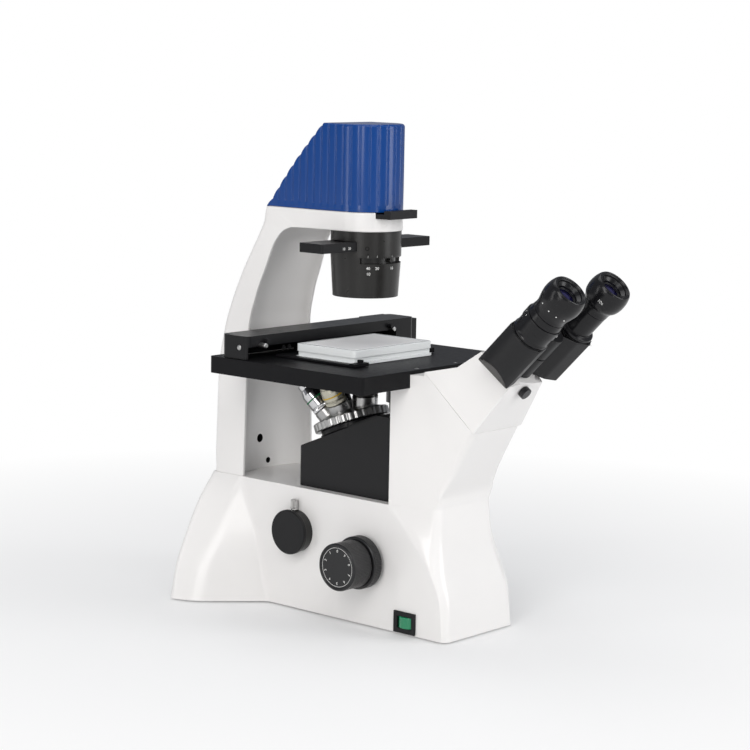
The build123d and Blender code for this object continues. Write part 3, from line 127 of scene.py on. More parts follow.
class Graph:
    """Node tree of one material, with one way to add a node."""

    def __init__(self, tree: bpy.types.NodeTree) -> None:
        """Empty the tree.

        Args:
            tree: Node tree to fill.
        """
        self.tree = tree
        tree.nodes.clear()
        self.here = self.node("ShaderNodeTexCoord").outputs["Object"]

    def node(self, kind: str, settings: Optional[dict] = None,
             inputs: Optional[dict] = None) -> bpy.types.Node:
        """Add a node.

        Args:
            kind: Blender's type name of the node.
            settings: Properties that are set before the sockets.
            inputs: Values or links of its sockets, by name or number.

        Returns:
            The new node.
        """
        made = self.tree.nodes.new(kind)
        for name, value in (settings or {}).items():
            setattr(made, name, value)
        for name, value in (inputs or {}).items():
            if isinstance(value, Signal):
                value = value.socket
            if isinstance(value, bpy.types.NodeSocket):
                self.tree.links.new(value, made.inputs[name])
            else:
                made.inputs[name].default_value = value
        return made

    def stretched(self, scale: Point) -> bpy.types.NodeSocket:
        """Object coordinates scaled along each axis.

        Args:
            scale: Factors along X, Y and Z, in features per metre.

        Returns:
            The scaled vector.
        """
        return self.node("ShaderNodeMapping", {}, {"Vector": self.here, "Scale": scale}).outputs[0]

    def noise(self, scale: float | Point, detail: float = 2.0) -> Signal:
        """Soft noise over the piece.

        Args:
            scale: Features per metre, one number or one along each axis.
            detail: Octaves.

        Returns:
            Noise about one half.
        """
        sizes = scale if isinstance(scale, tuple) else (scale, scale, scale)
        made = self.node("ShaderNodeTexNoise", {}, {"Vector": self.stretched(sizes), "Scale": 1.0,
                                                    "Detail": detail, "Roughness": 0.55})
        return Signal(self, made.outputs[0])

    def grains(self, scale: float) -> Signal:
        """Distance to the nearest of many scattered points, for a moulded grain.

        Args:
            scale: Grains per metre.

        Returns:
            Distance in grain widths.
        """
        made = self.node("ShaderNodeTexVoronoi", {}, {"Vector": self.here, "Scale": scale})
        return Signal(self, made.outputs["Distance"])

    def along(self, direction: Point, scale: float, detail: float = 1.0) -> Signal:
        """Noise that varies along one direction only, as a tool leaves on a turned piece.

        Args:
            direction: Axis of the piece.
            scale: Marks per metre.
            detail: Octaves.

        Returns:
            Noise about one half.
        """
        dot = self.node("ShaderNodeVectorMath", {"operation": "DOT_PRODUCT"}, {0: self.here, 1: direction})
        made = self.node("ShaderNodeTexNoise", {"noise_dimensions": "1D"},
                         {"W": dot.outputs["Value"], "Scale": scale, "Detail": detail})
        return Signal(self, made.outputs[0])

    def blend(self, share: Signal, first: Rgb, second: Rgb) -> bpy.types.NodeSocket:
        """Colour between two colours.

        Args:
            share: Share of the second colour.
            first: Colour at zero.
            second: Colour at one.

        Returns:
            The mixed colour.
        """
        made = self.node("ShaderNodeMix", {"data_type": "RGBA"}, {"Factor": share, 6: (*first, 1),
                                                                  7: (*second, 1)})
        return made.outputs[2]

    def bump(self, height: Signal, depth: float) -> bpy.types.NodeSocket:
        """Normal from a height.

        Args:
            height: Height over the surface, about zero to one.
            depth: Depth of a full step, in millimetres.

        Returns:
            The bumped normal.
        """
        made = self.node("ShaderNodeBump", {}, {"Height": height, "Distance": depth * MM, "Strength": 1.0})
        return made.outputs[0]


# Finishes


class Slot(Enum):
    """Material slots of the record."""

    WHITE = "white_paint"
    BLACK_PAINT = "black_paint"
    BLACK = "black_plastic"
    BLUE = "blue_plastic"
    GREEN = "green_plastic"
    CLEAR = "clear_plastic"
    STEEL = "steel"
    CHROME = "chrome"
    BRASS = "brass"
    ALUMINIUM = "aluminium"
    RUBBER = "rubber"
    GLASS = "glass"
    SILVERED = "silvered"
    BOARD = "board_green"


@dataclass(frozen=True)
class Finish:
    """Surface of one kind: its colour, its gloss and the fine relief that it carries."""

    name: str
    slot: Slot
    colour: Rgb
    rough: float = 0.45
    rough_swing: float = 0.06
    metal: float = 0.0
    coat: float = 0.0
    specular: float = 0.5
    mottle: float = 0.05
    mottle_scale: float = 30.0
    depth: float = 0.02
    scale: float = 900.0

    def relief(self, graph: Graph) -> Signal:
        """Height of the fine relief.

        Args:
            graph: Graph of the material.

        Returns:
            Height about zero to one.
        """
        return graph.noise(self.scale, 3.0)

    def shade(self, graph: Graph, shader: bpy.types.Node) -> None:
        """Set what else the finish needs on its shader.

        Args:
            graph: Graph of the material.
            shader: Its Principled shader.
        """

    def material(self) -> bpy.types.Material:
        """Material of this finish, made once.

        Returns:
            The material.
        """
        found = bpy.data.materials.get(self.name)
        if found:
            return found
        made = bpy.data.materials.new(self.name)
        made.use_nodes = True
        graph = Graph(made.node_tree)
        patches = graph.noise(self.mottle_scale, 3.0)
        darker = tuple(channel * (1 - self.mottle) for channel in self.colour)
        lighter = tuple(min(1.0, channel * (1 + self.mottle)) for channel in self.colour)
        rough = (graph.noise(self.mottle_scale * 4, 2.0) - 0.5) * (2 * self.rough_swing) + self.rough
        shader = graph.node("ShaderNodeBsdfPrincipled", {}, {
            "Base Color": graph.blend(patches, darker, lighter), "Roughness": rough.clipped(),
            "Metallic": self.metal, "Coat Weight": self.coat, "Coat Roughness": 0.08,
            "Specular IOR Level": self.specular,
            "Normal": graph.bump(self.relief(graph), self.depth)})
        self.shade(graph, shader)
        graph.node("ShaderNodeOutputMaterial", {}, {"Surface": shader.outputs[0]})
        return made


@dataclass(frozen=True)
class Moulded(Finish):
    """Moulded plastic with a fine spark-eroded grain."""

    def relief(self, graph: Graph) -> Signal:
        """Grains with a little noise between them."""
        return graph.grains(self.scale) * 0.7 + graph.noise(self.scale * 2, 1.0) * 0.5


@dataclass(frozen=True)
class Turned(Finish):
    """Turned metal or plastic, with fine tool rings square to its axis."""

    axis: Point = (0.0, 0.0, 1.0)

    def relief(self, graph: Graph) -> Signal:
        """Rings along the axis with a trace of grain."""
        return graph.along(self.axis, self.scale) + graph.noise(self.scale, 1.0) * 0.3


@dataclass(frozen=True)
class Brushed(Finish):
    """Metal with fine straight scratches along one axis."""

    grain: Point = (60.0, 3000.0, 3000.0)

    def relief(self, graph: Graph) -> Signal:
        """Noise drawn out along the scratches."""
        return graph.noise(self.grain, 2.0)


@dataclass(frozen=True)
class Clear(Finish):
    """Clear moulded plastic that lets most light through."""

    alpha: float = 0.3

    def shade(self, graph: Graph, shader: bpy.types.Node) -> None:
        """Let light through, less where the surface turns away."""
        facing = Signal(graph, graph.node("ShaderNodeLayerWeight", {}, {"Blend": 0.35}).outputs["Facing"])
        hazy = graph.noise(220.0, 2.0) * 0.12
        graph.tree.links.new((facing * 0.6 + hazy + self.alpha).clipped().socket, shader.inputs["Alpha"])


@dataclass(frozen=True)
class Lens(Finish):
    """Coated optical glass, drawn opaque: its dark colour is painted shade for the dark interior behind it.
    """

    tint: Rgb = (0.35, 0.3, 0.9)

    def shade(self, graph: Graph, shader: bpy.types.Node) -> None:
        """Tint the coating's reflection."""
        shader.inputs["Coat Tint"].default_value = (*self.tint, 1)
        shader.inputs["Specular Tint"].default_value = (*self.tint, 1)
        shader.inputs["IOR"].default_value = 1.9


@dataclass(frozen=True)
class Glowing(Finish):
    """Plastic that is lit from inside."""

    strength: float = 0.6

    def shade(self, graph: Graph, shader: bpy.types.Node) -> None:
        """Add the light."""
        graph.tree.links.new(graph.blend(graph.noise(300.0), self.colour, self.colour),
                             shader.inputs["Emission Color"])
        shader.inputs["Emission Strength"].default_value = self.strength


HEAD_AXIS: Point = (0.0, -HALF_ROOT, HALF_ROOT)
WHITE = Finish("white_enamel", Slot.WHITE, (0.82, 0.807, 0.792), rough=0.34, rough_swing=0.04, coat=0.2,
               mottle=0.012, depth=0.012, scale=420.0)
# Near-black matte lining that is painted shade for the depths of the arm's holes and of the set screw's
# recess
HOLE_SHADE = Finish("painted_hole_shade", Slot.BLACK_PAINT, (0.008, 0.008, 0.008), rough=0.6, specular=0.1, depth=0.01)
BLACK_ENAMEL = Finish("black_enamel", Slot.BLACK_PAINT, (0.009, 0.009, 0.010), rough=0.33, specular=0.2,
                      mottle=0.12, depth=0.03, scale=1500.0)
STAGE_BLACK = Finish("stage_black", Slot.BLACK_PAINT, (0.008, 0.008, 0.009), rough=0.42, specular=0.1,
                     mottle=0.15, mottle_scale=60.0, depth=0.02, scale=1800.0)
TURNED_BLACK = Turned("turned_black", Slot.BLACK_PAINT, (0.014, 0.0133, 0.0125), rough=0.3, specular=0.35,
                      depth=0.02, scale=2600.0)
HEAD_BLACK = Moulded("head_black", Slot.BLACK_PAINT, (0.013, 0.013, 0.014), rough=0.38, specular=0.26,
                     depth=0.045, scale=1500.0)
TUBE_BLACK = Turned("tube_black", Slot.BLACK_PAINT, (0.007, 0.007, 0.008), rough=0.22, specular=0.3,
                    depth=0.015, scale=2600.0, axis=HEAD_AXIS)
CAP_GREY = Moulded("cap_grey", Slot.BLACK, (0.06, 0.058, 0.056), rough=0.5, specular=0.3, depth=0.04,
                   scale=1500.0)
MOULDED = Moulded("moulded_black", Slot.BLACK, (0.010, 0.010, 0.011), rough=0.4, specular=0.24, depth=0.05,
                  scale=1600.0)
KNOB = Moulded("knob_black", Slot.BLACK, (0.011, 0.011, 0.012), rough=0.3, specular=0.4, depth=0.03,
               scale=2000.0)
BLUE = Finish("blue_cover", Slot.BLUE, (0.003, 0.047, 0.22), rough=0.2, rough_swing=0.02, coat=0.2,
              specular=0.25, mottle=0.03, depth=0.006, scale=700.0)
STEEL = Brushed("brushed_steel", Slot.STEEL, (0.5, 0.49, 0.48), rough=0.28, metal=1.0, depth=0.01)
CHROME = Finish("chromed", Slot.CHROME, (0.62, 0.62, 0.63), rough=0.12, rough_swing=0.03, metal=1.0,
                mottle=0.02, depth=0.003)
IVORY = Finish("pale_anodised", Slot.ALUMINIUM, (0.5, 0.48, 0.4), rough=0.3, metal=0.85, mottle=0.02,
               depth=0.004)
SATIN = Brushed("satin_aluminium", Slot.ALUMINIUM, (0.42, 0.42, 0.415), rough=0.3, metal=1.0, depth=0.008,
                grain=(2200.0, 2200.0, 2200.0))
BRASS = Finish("turned_brass", Slot.BRASS, (0.55, 0.4, 0.16), rough=0.3, metal=1.0, depth=0.01)
PRINT = Finish("white_print", Slot.WHITE, (0.82, 0.82, 0.8), rough=0.5, mottle=0.03, depth=0.004)
GREEN_BAND = Finish("green_band", Slot.GREEN, (0.01, 0.16, 0.05), rough=0.35, depth=0.004)
YELLOW_BAND = Finish("yellow_band", Slot.BRASS, (0.7, 0.45, 0.03), rough=0.35, depth=0.004)
BLUE_BAND = Finish("pale_blue_band", Slot.BLUE, (0.05, 0.25, 0.6), rough=0.35, depth=0.004)
RUBBER = Moulded("black_rubber", Slot.RUBBER, (0.014, 0.014, 0.014), rough=0.62, specular=0.25, depth=0.04,
                 scale=2200.0)
CLEAR = Clear("clear_plastic", Slot.CLEAR, (0.6, 0.6, 0.59), rough=0.1, depth=0.01, alpha=0.09)
TUBES = Clear("clear_wells", Slot.CLEAR, (0.42, 0.42, 0.415), rough=0.15, depth=0.01, alpha=0.3)
FROSTED = Clear("frosted_plastic", Slot.CLEAR, (0.86, 0.855, 0.85), rough=0.4, depth=0.03, alpha=0.66)
# The lenses' dark colour is painted shade for the interior seen through the glass; the coating's tinted
# reflection is the glass's own
GLASS = Lens("coated_glass_on_painted_shade", Slot.GLASS, (0.012, 0.012, 0.03), rough=0.03, rough_swing=0.01, coat=1.0,
             depth=0.001)
BULB = Clear("bulb_glass", Slot.GLASS, (0.85, 0.88, 0.9), rough=0.05, depth=0.002, alpha=0.2)
MIRROR = Finish("silvered_glass", Slot.SILVERED, (0.88, 0.88, 0.88), rough=0.02, rough_swing=0.01,
                metal=1.0, mottle=0.01, depth=0.001)
BOARD = Finish("circuit_board", Slot.BOARD, (0.02, 0.12, 0.05), rough=0.4, depth=0.03, scale=500.0)
ROCKER = Glowing("lit_rocker", Slot.GREEN, (0.003, 0.14, 0.06), rough=0.2, coat=0.5, depth=0.004,
                 strength=0.5)


# Shapes: profiles, outlines and grids of points, all worked out as whole arrays


def unit(vector: Sequence[float]) -> Array:
    """Vector of length one along the given one."""
    array = np.asarray(vector, float)
    return array / np.linalg.norm(array)


@dataclass(frozen=True)
class Axes:
    """Place of a piece: its origin, the direction it runs along, and the direction of its zero angle."""

    origin: Point
    along: Point
    zero: Point

    def at(self, across: Array, beside: Array, along: Array) -> Array:
        """Points from their own coordinates: origin + across * u + beside * v + along * w, where w is the
        unit direction, u the zero direction made square to it, and v = w x u.

        Args:
            across: Distances along the zero direction.
            beside: Distances square to it and to the axis.
            along: Distances along the axis.

        Returns:
            Array with the three coordinates last.
        """
        w = unit(self.along)
        u = unit(np.asarray(self.zero, float) - w * float(np.dot(w, self.zero)))
        v = np.cross(w, u)
        across, beside, along = np.broadcast_arrays(across, beside, along)
        return np.asarray(self.origin) + across[..., None] * u + beside[..., None] * v + along[..., None] * w

    def moved(self, across: float = 0.0, beside: float = 0.0, along: float = 0.0) -> "Axes":
        """Same directions from another origin."""
        place = self.at(np.array(across), np.array(beside), np.array(along))
        return Axes(tuple(place), self.along, self.zero)


UP = Axes((0, 0, 0), (0, 0, 1), (1, 0, 0))


def softened(points: Sequence[Sequence[float]], reach: float | Sequence[float], steps: int = 5,
             closed: bool = False) -> Array:
    """Line through points with its corners rounded: each corner C becomes the quadratic curve
    (1-t)^2 A + 2t(1-t) C + t^2 B between the points A and B that lie `reach` before and after it.

    Args:
        points: Corners in order.
        reach: Distance from each corner at which its curve starts, one for all or one each.
        steps: Pieces of each curve.
        closed: Whether the last point joins the first.

    Returns:
        Rows of points.
    """
    corners = np.asarray(points, float)
    count = len(corners)
    reaches = np.broadcast_to(np.asarray(reach, float), (count,))
    before = np.roll(corners, 1, axis=0) - corners
    after = np.roll(corners, -1, axis=0) - corners
    size_before = np.maximum(np.linalg.norm(before, axis=1), 1e-9)
    size_after = np.maximum(np.linalg.norm(after, axis=1), 1e-9)
    cut = np.minimum(reaches, 0.49 * np.minimum(size_before, size_after))
    start = corners + before * (cut / size_before)[:, None]
    end = corners + after * (cut / size_after)[:, None]
    t = np.linspace(0, 1, steps + 1)[None, :, None]
    curve = (1 - t) ** 2 * start[:, None] + 2 * t * (1 - t) * corners[:, None] + t ** 2 * end[:, None]
    if closed:
        return curve.reshape(-1, corners.shape[1])
    return np.vstack([corners[:1], curve[1:-1].reshape(-1, corners.shape[1]), corners[-1:]])


def box_outline(x0: float, x1: float, y0: float, y1: float, reach: float, steps: int = 6) -> Array:
    """Closed outline of a rectangle with rounded corners.

    Args:
        x0: Lowest X.
        x1: Highest X.
        y0: Lowest Y.
        y1: Highest Y.
        reach: Reach of each rounded corner.
        steps: Pieces of each corner.

    Returns:
        Rows of (x, y).
    """
    return softened([(x0, y0), (x1, y0), (x1, y1), (x0, y1)], reach, steps, closed=True)


def inset(outline: Array, amount: float) -> Array:
    """Closed outline moved inwards: each point goes along the mean normal of its two sides, by
    amount / cos of half the turn there.

    Args:
        outline: Rows of (x, y), anticlockwise.
        amount: Distance inwards.

    Returns:
        Rows of (x, y).
    """
    ahead = np.roll(outline, -1, axis=0) - outline
    ahead /= np.maximum(np.linalg.norm(ahead, axis=1), 1e-9)[:, None]
    behind = np.roll(ahead, 1, axis=0)
    normal = np.stack([-(ahead + behind)[:, 1], (ahead + behind)[:, 0]], axis=1)
    size = np.maximum(np.linalg.norm(normal, axis=1), 1e-6)
    normal /= size[:, None]
    return outline + normal * (amount / np.maximum(size / 2, 0.4))[:, None]


def smooth_table(places: Sequence[float], values: Array, at: Array) -> Array:
    """Values of a table between its rows, by a cubic through them with no overshoot: the slope at a row is
    the harmonic mean of its neighbours' slopes, or zero where they differ in sign.

    Args:
        places: Increasing places of the rows.
        values: Rows of values.
        at: Places to read.

    Returns:
        One row for each place.
    """
    x = np.asarray(places, float)
    y = np.asarray(values, float).reshape(len(x), -1)
    step = np.diff(x)[:, None]
    slope = np.diff(y, axis=0) / step
    same = slope[:-1] * slope[1:] > 0
    inner = np.where(same, 2 * slope[:-1] * slope[1:] / np.where(same, slope[:-1] + slope[1:], 1.0), 0.0)
    tangent = np.vstack([slope[:1], inner, slope[-1:]])
    row = np.clip(np.searchsorted(x, at, side="right") - 1, 0, len(x) - 2)
    t = ((at - x[row]) / step[row, 0])[:, None]
    h = step[row]
    return ((2 * t ** 3 - 3 * t ** 2 + 1) * y[row] + (t ** 3 - 2 * t ** 2 + t) * h * tangent[row]
            + (3 * t ** 2 - 2 * t ** 3) * y[row + 1] + (t ** 3 - t ** 2) * h * tangent[row + 1])


Swell = Callable[[Array, Array], Array]


def flutes(count: int, depth: float, low: float, high: float, fade: float = 1.0, flat: float = 0.5) -> Swell:
    """Flutes cut into a turned grip: -depth * groove(angle) * window(height). The groove is
    (0.5 + 0.5 cos(count * angle)) to a power that sets how wide the lands between flutes are, and the
    window rises from zero to one over `fade` at both ends.

    Args:
        count: Flutes round the piece.
        depth: Depth of a flute.
        low: Where they start along the axis.
        high: Where they end.
        fade: Length of their run-out.
        flat: Share of land, which sharpens the flute.

    Returns:
        Change of the radius for angles and heights.
    """
    def change(angle: Array, height: Array) -> Array:
        """Radius change."""
        groove = (0.5 + 0.5 * np.cos(count * angle)) ** (1 + 3 * flat)
        window = np.clip((height - low) / fade, 0, 1) * np.clip((high - height) / fade, 0, 1)
        return -depth * groove * window
    return change


def turned(profile: Array, axes: Axes, segments: int = 96, swell: Optional[Swell] = None) -> Array:
    """Grid of a turned surface: a profile of (radius, height) carried round the axis. At angle a a point
    is radius * (cos a, sin a) across and beside, with the swell added to the radius.

    Args:
        profile: Rows of (radius, height).
        axes: Place and directions.
        segments: Steps round the axis.
        swell: Change of the radius by angle and height.

    Returns:
        Grid of points, rows along the profile and columns round the axis.
    """
    angle = np.linspace(0, 2 * math.pi, segments, endpoint=False)[None, :]
    radius = np.repeat(profile[:, :1], segments, axis=1)
    height = np.repeat(profile[:, 1:], segments, axis=1)
    if swell:
        radius = radius + swell(angle, height) * (radius > 0.01)
    return axes.at(radius * np.cos(angle), radius * np.sin(angle), height)


def filled(profile: Sequence[Sequence[float]], gap: float) -> Array:
    """Profile with extra points, so that no step along it is longer than a gap.

    Args:
        profile: Rows of points.
        gap: Longest step.

    Returns:
        Rows of points.
    """
    points = np.asarray(profile, float)
    length = np.linalg.norm(np.diff(points, axis=0), axis=1)
    counts = np.maximum(1, np.ceil(length / gap)).astype(int)
    start = np.repeat(points[:-1], counts, axis=0)
    run = np.repeat(np.diff(points, axis=0), counts, axis=0)
    first = np.repeat(np.cumsum(counts) - counts, counts)
    share = (np.arange(counts.sum()) - first) / np.repeat(counts, counts)
    return np.vstack([start + run * share[:, None], points[-1:]])


class Skin:
    """Points and faces of one piece, gathered from grids and caps before they become a mesh."""

    def __init__(self) -> None:
        """Start empty."""
        self.points: list[Array] = []
        self.faces: list[list[int]] = []
        self.count = 0

    def _keep(self, points: Array) -> int:
        """Keep points and return the number of the first."""
        first = self.count
        self.points.append(points.reshape(-1, 3))
        self.count += len(self.points[-1])
        return first

    def grid(self, points: Array, wrap: bool = True) -> "Skin":
        """Add a grid of quads, where cell (i, j) joins points (i, j), (i, j+1), (i+1, j+1), (i+1, j).

        Args:
            points: Grid of points, rows by columns.
            wrap: Whether the last column joins the first.

        Returns:
            This skin.
        """
        rows, columns = points.shape[:2]
        number = np.arange(rows * columns).reshape(rows, columns) + self._keep(points)
        if wrap:
            number = np.hstack([number, number[:, :1]])
        quads = np.stack([number[:-1, :-1], number[:-1, 1:], number[1:, 1:], number[1:, :-1]], axis=-1)
        self.faces += quads.reshape(-1, 4).tolist()
        return self

    def cap(self, loop: Array) -> "Skin":
        """Add one flat face round a loop of points.

        Args:
            loop: Rows of points in order.

        Returns:
            This skin.
        """
        first = self._keep(loop)
        self.faces.append(list(range(first, first + len(loop))))
        return self

    def turn(self, profile: Array, axes: Axes, segments: int = 96, swell: Optional[Swell] = None) -> "Skin":
        """Add a turned surface. See turned for its arguments and formula."""
        return self.grid(turned(profile, axes, segments, swell))

    def prism(self, outline: Array, low: float, high: float, axes: Axes = UP, edge: float = 0.6,
              steps: int = 3) -> "Skin":
        """Add a closed block: an outline carried from low to high, with quarter round edges. A layer at
        angle a of an edge is inset by edge * (1 - sin a) at height edge * (1 - cos a) from its end.

        Args:
            outline: Rows of (x, y), anticlockwise.
            low: Lower end along the axis.
            high: Upper end.
            axes: Place and directions.
            edge: Radius of both edges.
            steps: Layers in each edge.

        Returns:
            This skin.
        """
        angle = np.linspace(0, math.pi / 2, steps + 1)
        rise = edge * (1 - np.cos(angle))
        step_in = edge * (1 - np.sin(angle))
        heights = np.concatenate([low + rise, high - rise[::-1]])
        insets = np.concatenate([step_in, step_in[::-1]])
        layers = [axes.at(*inset(outline, amount).T, np.full(len(outline), height))
                  for amount, height in zip(insets, heights)]
        self.grid(np.array(layers))
        return self.cap(layers[0]).cap(layers[-1])

    def piece(self, name: str, body: str, finish: Finish, replaced: Sequence[str] = (),
              bevel: float = 0.0, sharp: float = 35.0) -> bpy.types.Object:
        """Make the mesh and put it in the scene.

        Args:
            name: Name of the piece.
            body: CAD body that it rides on.
            finish: Its finish.
            replaced: CAD nodes that it stands for.
            bevel: Width of bevelled edges, or zero for none.
            sharp: Angle past which an edge is sharp, in degrees.

        Returns:
            The piece.
        """
        mesh = bpy.data.meshes.new(name)
        mesh.from_pydata((np.vstack(self.points) * MM).tolist(), [], self.faces)
        return dressed(mesh, name, body, finish, replaced, bevel, sharp)


def pin(radius: float, low: float, high: float, axes: Axes, segments: int = 64) -> Skin:
    """Plain round bar, used to cut a bore.

    Args:
        radius: Its radius.
        low: Start along the axis.
        high: End along the axis.
        axes: Place and directions.
        segments: Steps round it.

    Returns:
        The skin.
    """
    profile = np.array([(0, low), (radius, low), (radius, high), (0, high)], float)
    return Skin().turn(profile, axes, segments)


def merged(mesh: bpy.types.Mesh) -> None:
    """Merge the points of a mesh that coincide, and turn its faces outwards.

    Args:
        mesh: Mesh in metres.
    """
    work = bmesh.new()
    work.from_mesh(mesh)
    bmesh.ops.remove_doubles(work, verts=work.verts, dist=MERGE)
    bmesh.ops.recalc_face_normals(work, faces=work.faces)
    work.to_mesh(mesh)
    work.free()


def dressed(mesh: bpy.types.Mesh, name: str, body: str, finish: Finish, replaced: Sequence[str] = (),
            bevel: float = 0.0, sharp: float = 35.0, segments: int = 3) -> bpy.types.Object:
    """Clean a mesh, shade it and put it in the scene.

    Args:
        mesh: Mesh in metres.
        name: Name of the piece.
        body: CAD body that it rides on.
        finish: Its finish.
        replaced: CAD nodes that it stands for.
        bevel: Width of bevelled edges, or zero for none.
        sharp: Angle past which an edge is sharp, in degrees.
        segments: Steps of the bevel.

    Returns:
        The piece.
    """
    merged(mesh)
    made = bpy.data.objects.new(name, mesh)
    bpy.context.scene.collection.objects.link(made)
    finish_edges(made, bevel, sharp, segments)
    mesh.materials.append(finish.material())
    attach(made, body)
    if replaced:
        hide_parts(*replaced)
    log.info("%s: %d faces on %s", name, len(mesh.polygons), body)
    return made


def finish_edges(made: bpy.types.Object, bevel: float, sharp: float, segments: int = 3) -> None:
    """Shade a piece smooth, with soft bevelled edges where asked.

    Args:
        made: The piece.
        bevel: Width of its bevelled edges, or zero.
        sharp: Angle past which an edge is sharp, in degrees.
        segments: Steps of the bevel.
    """
    made.data.shade_smooth()
    made.data.set_sharp_from_angle(angle=math.radians(sharp))
    if bevel:
        soft = made.modifiers.new("soft_edges", "BEVEL")
        soft.width = bevel * MM
        soft.segments = segments
        soft.limit_method = "ANGLE"
        soft.angle_limit = math.radians(sharp)
        soft.use_clamp_overlap = True
        soft.harden_normals = False
    even = made.modifiers.new("even_normals", "WEIGHTED_NORMAL")
    even.keep_sharp = True
    even.weight = 80


def refined(node: str, finish: Finish, bevel: float = 0.5, sharp: float = 34.0,
            segments: int = 2) -> bpy.types.Object:
    """Copy of a CAD node with soft edges in its place: its triangles are merged into flat faces first.

    Args:
        node: CAD node.
        finish: Its finish.
        bevel: Width of its edges.
        sharp: Angle past which an edge is bevelled, in degrees.
        segments: Steps of the bevel.

    Returns:
        The piece, named after the node.
    """
    mesh = frame["nodes"][node].data.copy()
    mesh.materials.clear()
    for layer in list(mesh.uv_layers):
        mesh.uv_layers.remove(layer)
    if mesh.has_custom_normals:
        mesh.normals_split_custom_set([(0, 0, 0)] * len(mesh.loops))
    work = bmesh.new()
    work.from_mesh(mesh)
    bmesh.ops.remove_doubles(work, verts=work.verts, dist=MERGE)
    bmesh.ops.dissolve_limit(work, angle_limit=FLAT, verts=work.verts, edges=work.edges)
    work.to_mesh(mesh)
    work.free()
    return dressed(mesh, f"{node}_skin", body_of(node), finish, [node], bevel, sharp, segments)


def body_of(node: str) -> str:
    """Name of the body that a CAD node belongs to."""
    bodies = frame["record"]["behaviour"]["bodies"]
    return next(body for body, members in bodies.items() if node in members)


def paint(node: str, finish: Finish) -> None:
    """Give a CAD node that keeps its own mesh a finish.

    Args:
        node: CAD node.
        finish: Its finish.
    """
    mesh = frame["nodes"][node]
    if not mesh.material_slots:
        mesh.data.materials.append(None)
    for place in mesh.material_slots:
        place.material = finish.material()
    log.info("%s: finish %s", node, finish.name)


def carve(piece: bpy.types.Object, tools: Sequence[Skin], name: str) -> None:
    """Cut closed forms out of a piece, before its edges are softened.

    Args:
        piece: Piece to cut.
        tools: Closed forms to take away.
        name: Name for the cutting tools.
    """
    cutters = []
    for number, tool in enumerate(tools):
        mesh = bpy.data.meshes.new(f"{name}_{number}")
        mesh.from_pydata((np.vstack(tool.points) * MM).tolist(), [], tool.faces)
        merged(mesh)
        cutter = bpy.data.objects.new(mesh.name, mesh)
        bpy.context.scene.collection.objects.link(cutter)
        cut = piece.modifiers.new(f"cut_{number}", "BOOLEAN")
        cut.operation = "DIFFERENCE"
        cut.solver = "EXACT"
        cut.object = cutter
        while piece.modifiers.find(cut.name) > number:
            piece.modifiers.move(piece.modifiers.find(cut.name), number)
        cutters.append(cutter)
    for modifier in piece.modifiers:
        modifier.show_viewport = modifier.type == "BOOLEAN"
    bpy.context.view_layer.update()
    evaluated = piece.evaluated_get(bpy.context.evaluated_depsgraph_get())
    carved = bpy.data.meshes.new_from_object(evaluated)
    piece.data = carved
    for modifier in list(piece.modifiers):
        if modifier.type == "BOOLEAN":
            piece.modifiers.remove(modifier)
        else:
            modifier.show_viewport = True
    for cutter in cutters:
        bpy.data.meshes.remove(cutter.data)
    carved.shade_smooth()
    carved.set_sharp_from_angle(angle=math.radians(35))
    log.info("%s: carved by %d", piece.name, len(tools))


def trim_below(piece: bpy.types.Object, height: float) -> None:
    """Take away what a cut left under a level.

    Args:
        piece: Piece to trim.
        height: The level, in millimetres.
    """
    work = bmesh.new()
    work.from_mesh(piece.data)
    every = work.verts[:] + work.edges[:] + work.faces[:]
    bmesh.ops.bisect_plane(work, geom=every, dist=MERGE, plane_co=(0, 0, height * MM), plane_no=(0, 0, 1),
                           clear_inner=True)
    bmesh.ops.delete(work, geom=[edge for edge in work.edges if not edge.link_faces], context="EDGES")
    bmesh.ops.remove_doubles(work, verts=work.verts, dist=MERGE)
    work.to_mesh(piece.data)
    work.free()
    log.info("%s: trimmed at %.1f", piece.name, height)


def printed(text: str, size: float, axes: Axes, name: str, body: str) -> bpy.types.Object:
    """White printed characters as a thin mesh, centred on the axes' origin and facing along them.

    Args:
        text: Characters.
        size: Height of the line.
        axes: Place: its zero direction is the reading direction.
        name: Name of the piece.
        body: Body that it rides on.

    Returns:
        The piece.
    """
    curve = bpy.data.curves.new(name, "FONT")
    curve.body = text
    curve.size = size
    curve.align_x = "CENTER"
    curve.align_y = "CENTER"
    curve.extrude = PRINT_THICK / 2
    source = bpy.data.objects.new(name, curve)
    bpy.context.scene.collection.objects.link(source)
    bpy.context.view_layer.update()
    mesh = bpy.data.meshes.new_from_object(source.evaluated_get(bpy.context.evaluated_depsgraph_get()))
    bpy.data.objects.remove(source)
    flat = np.zeros(len(mesh.vertices) * 3)
    mesh.vertices.foreach_get("co", flat)
    placed = axes.at(*flat.reshape(-1, 3).T) * MM
    mesh.vertices.foreach_set("co", placed.reshape(-1))
    mesh.update()
    mesh.name = name
    return dressed(mesh, name, body, PRINT)


# Base casting and front tower


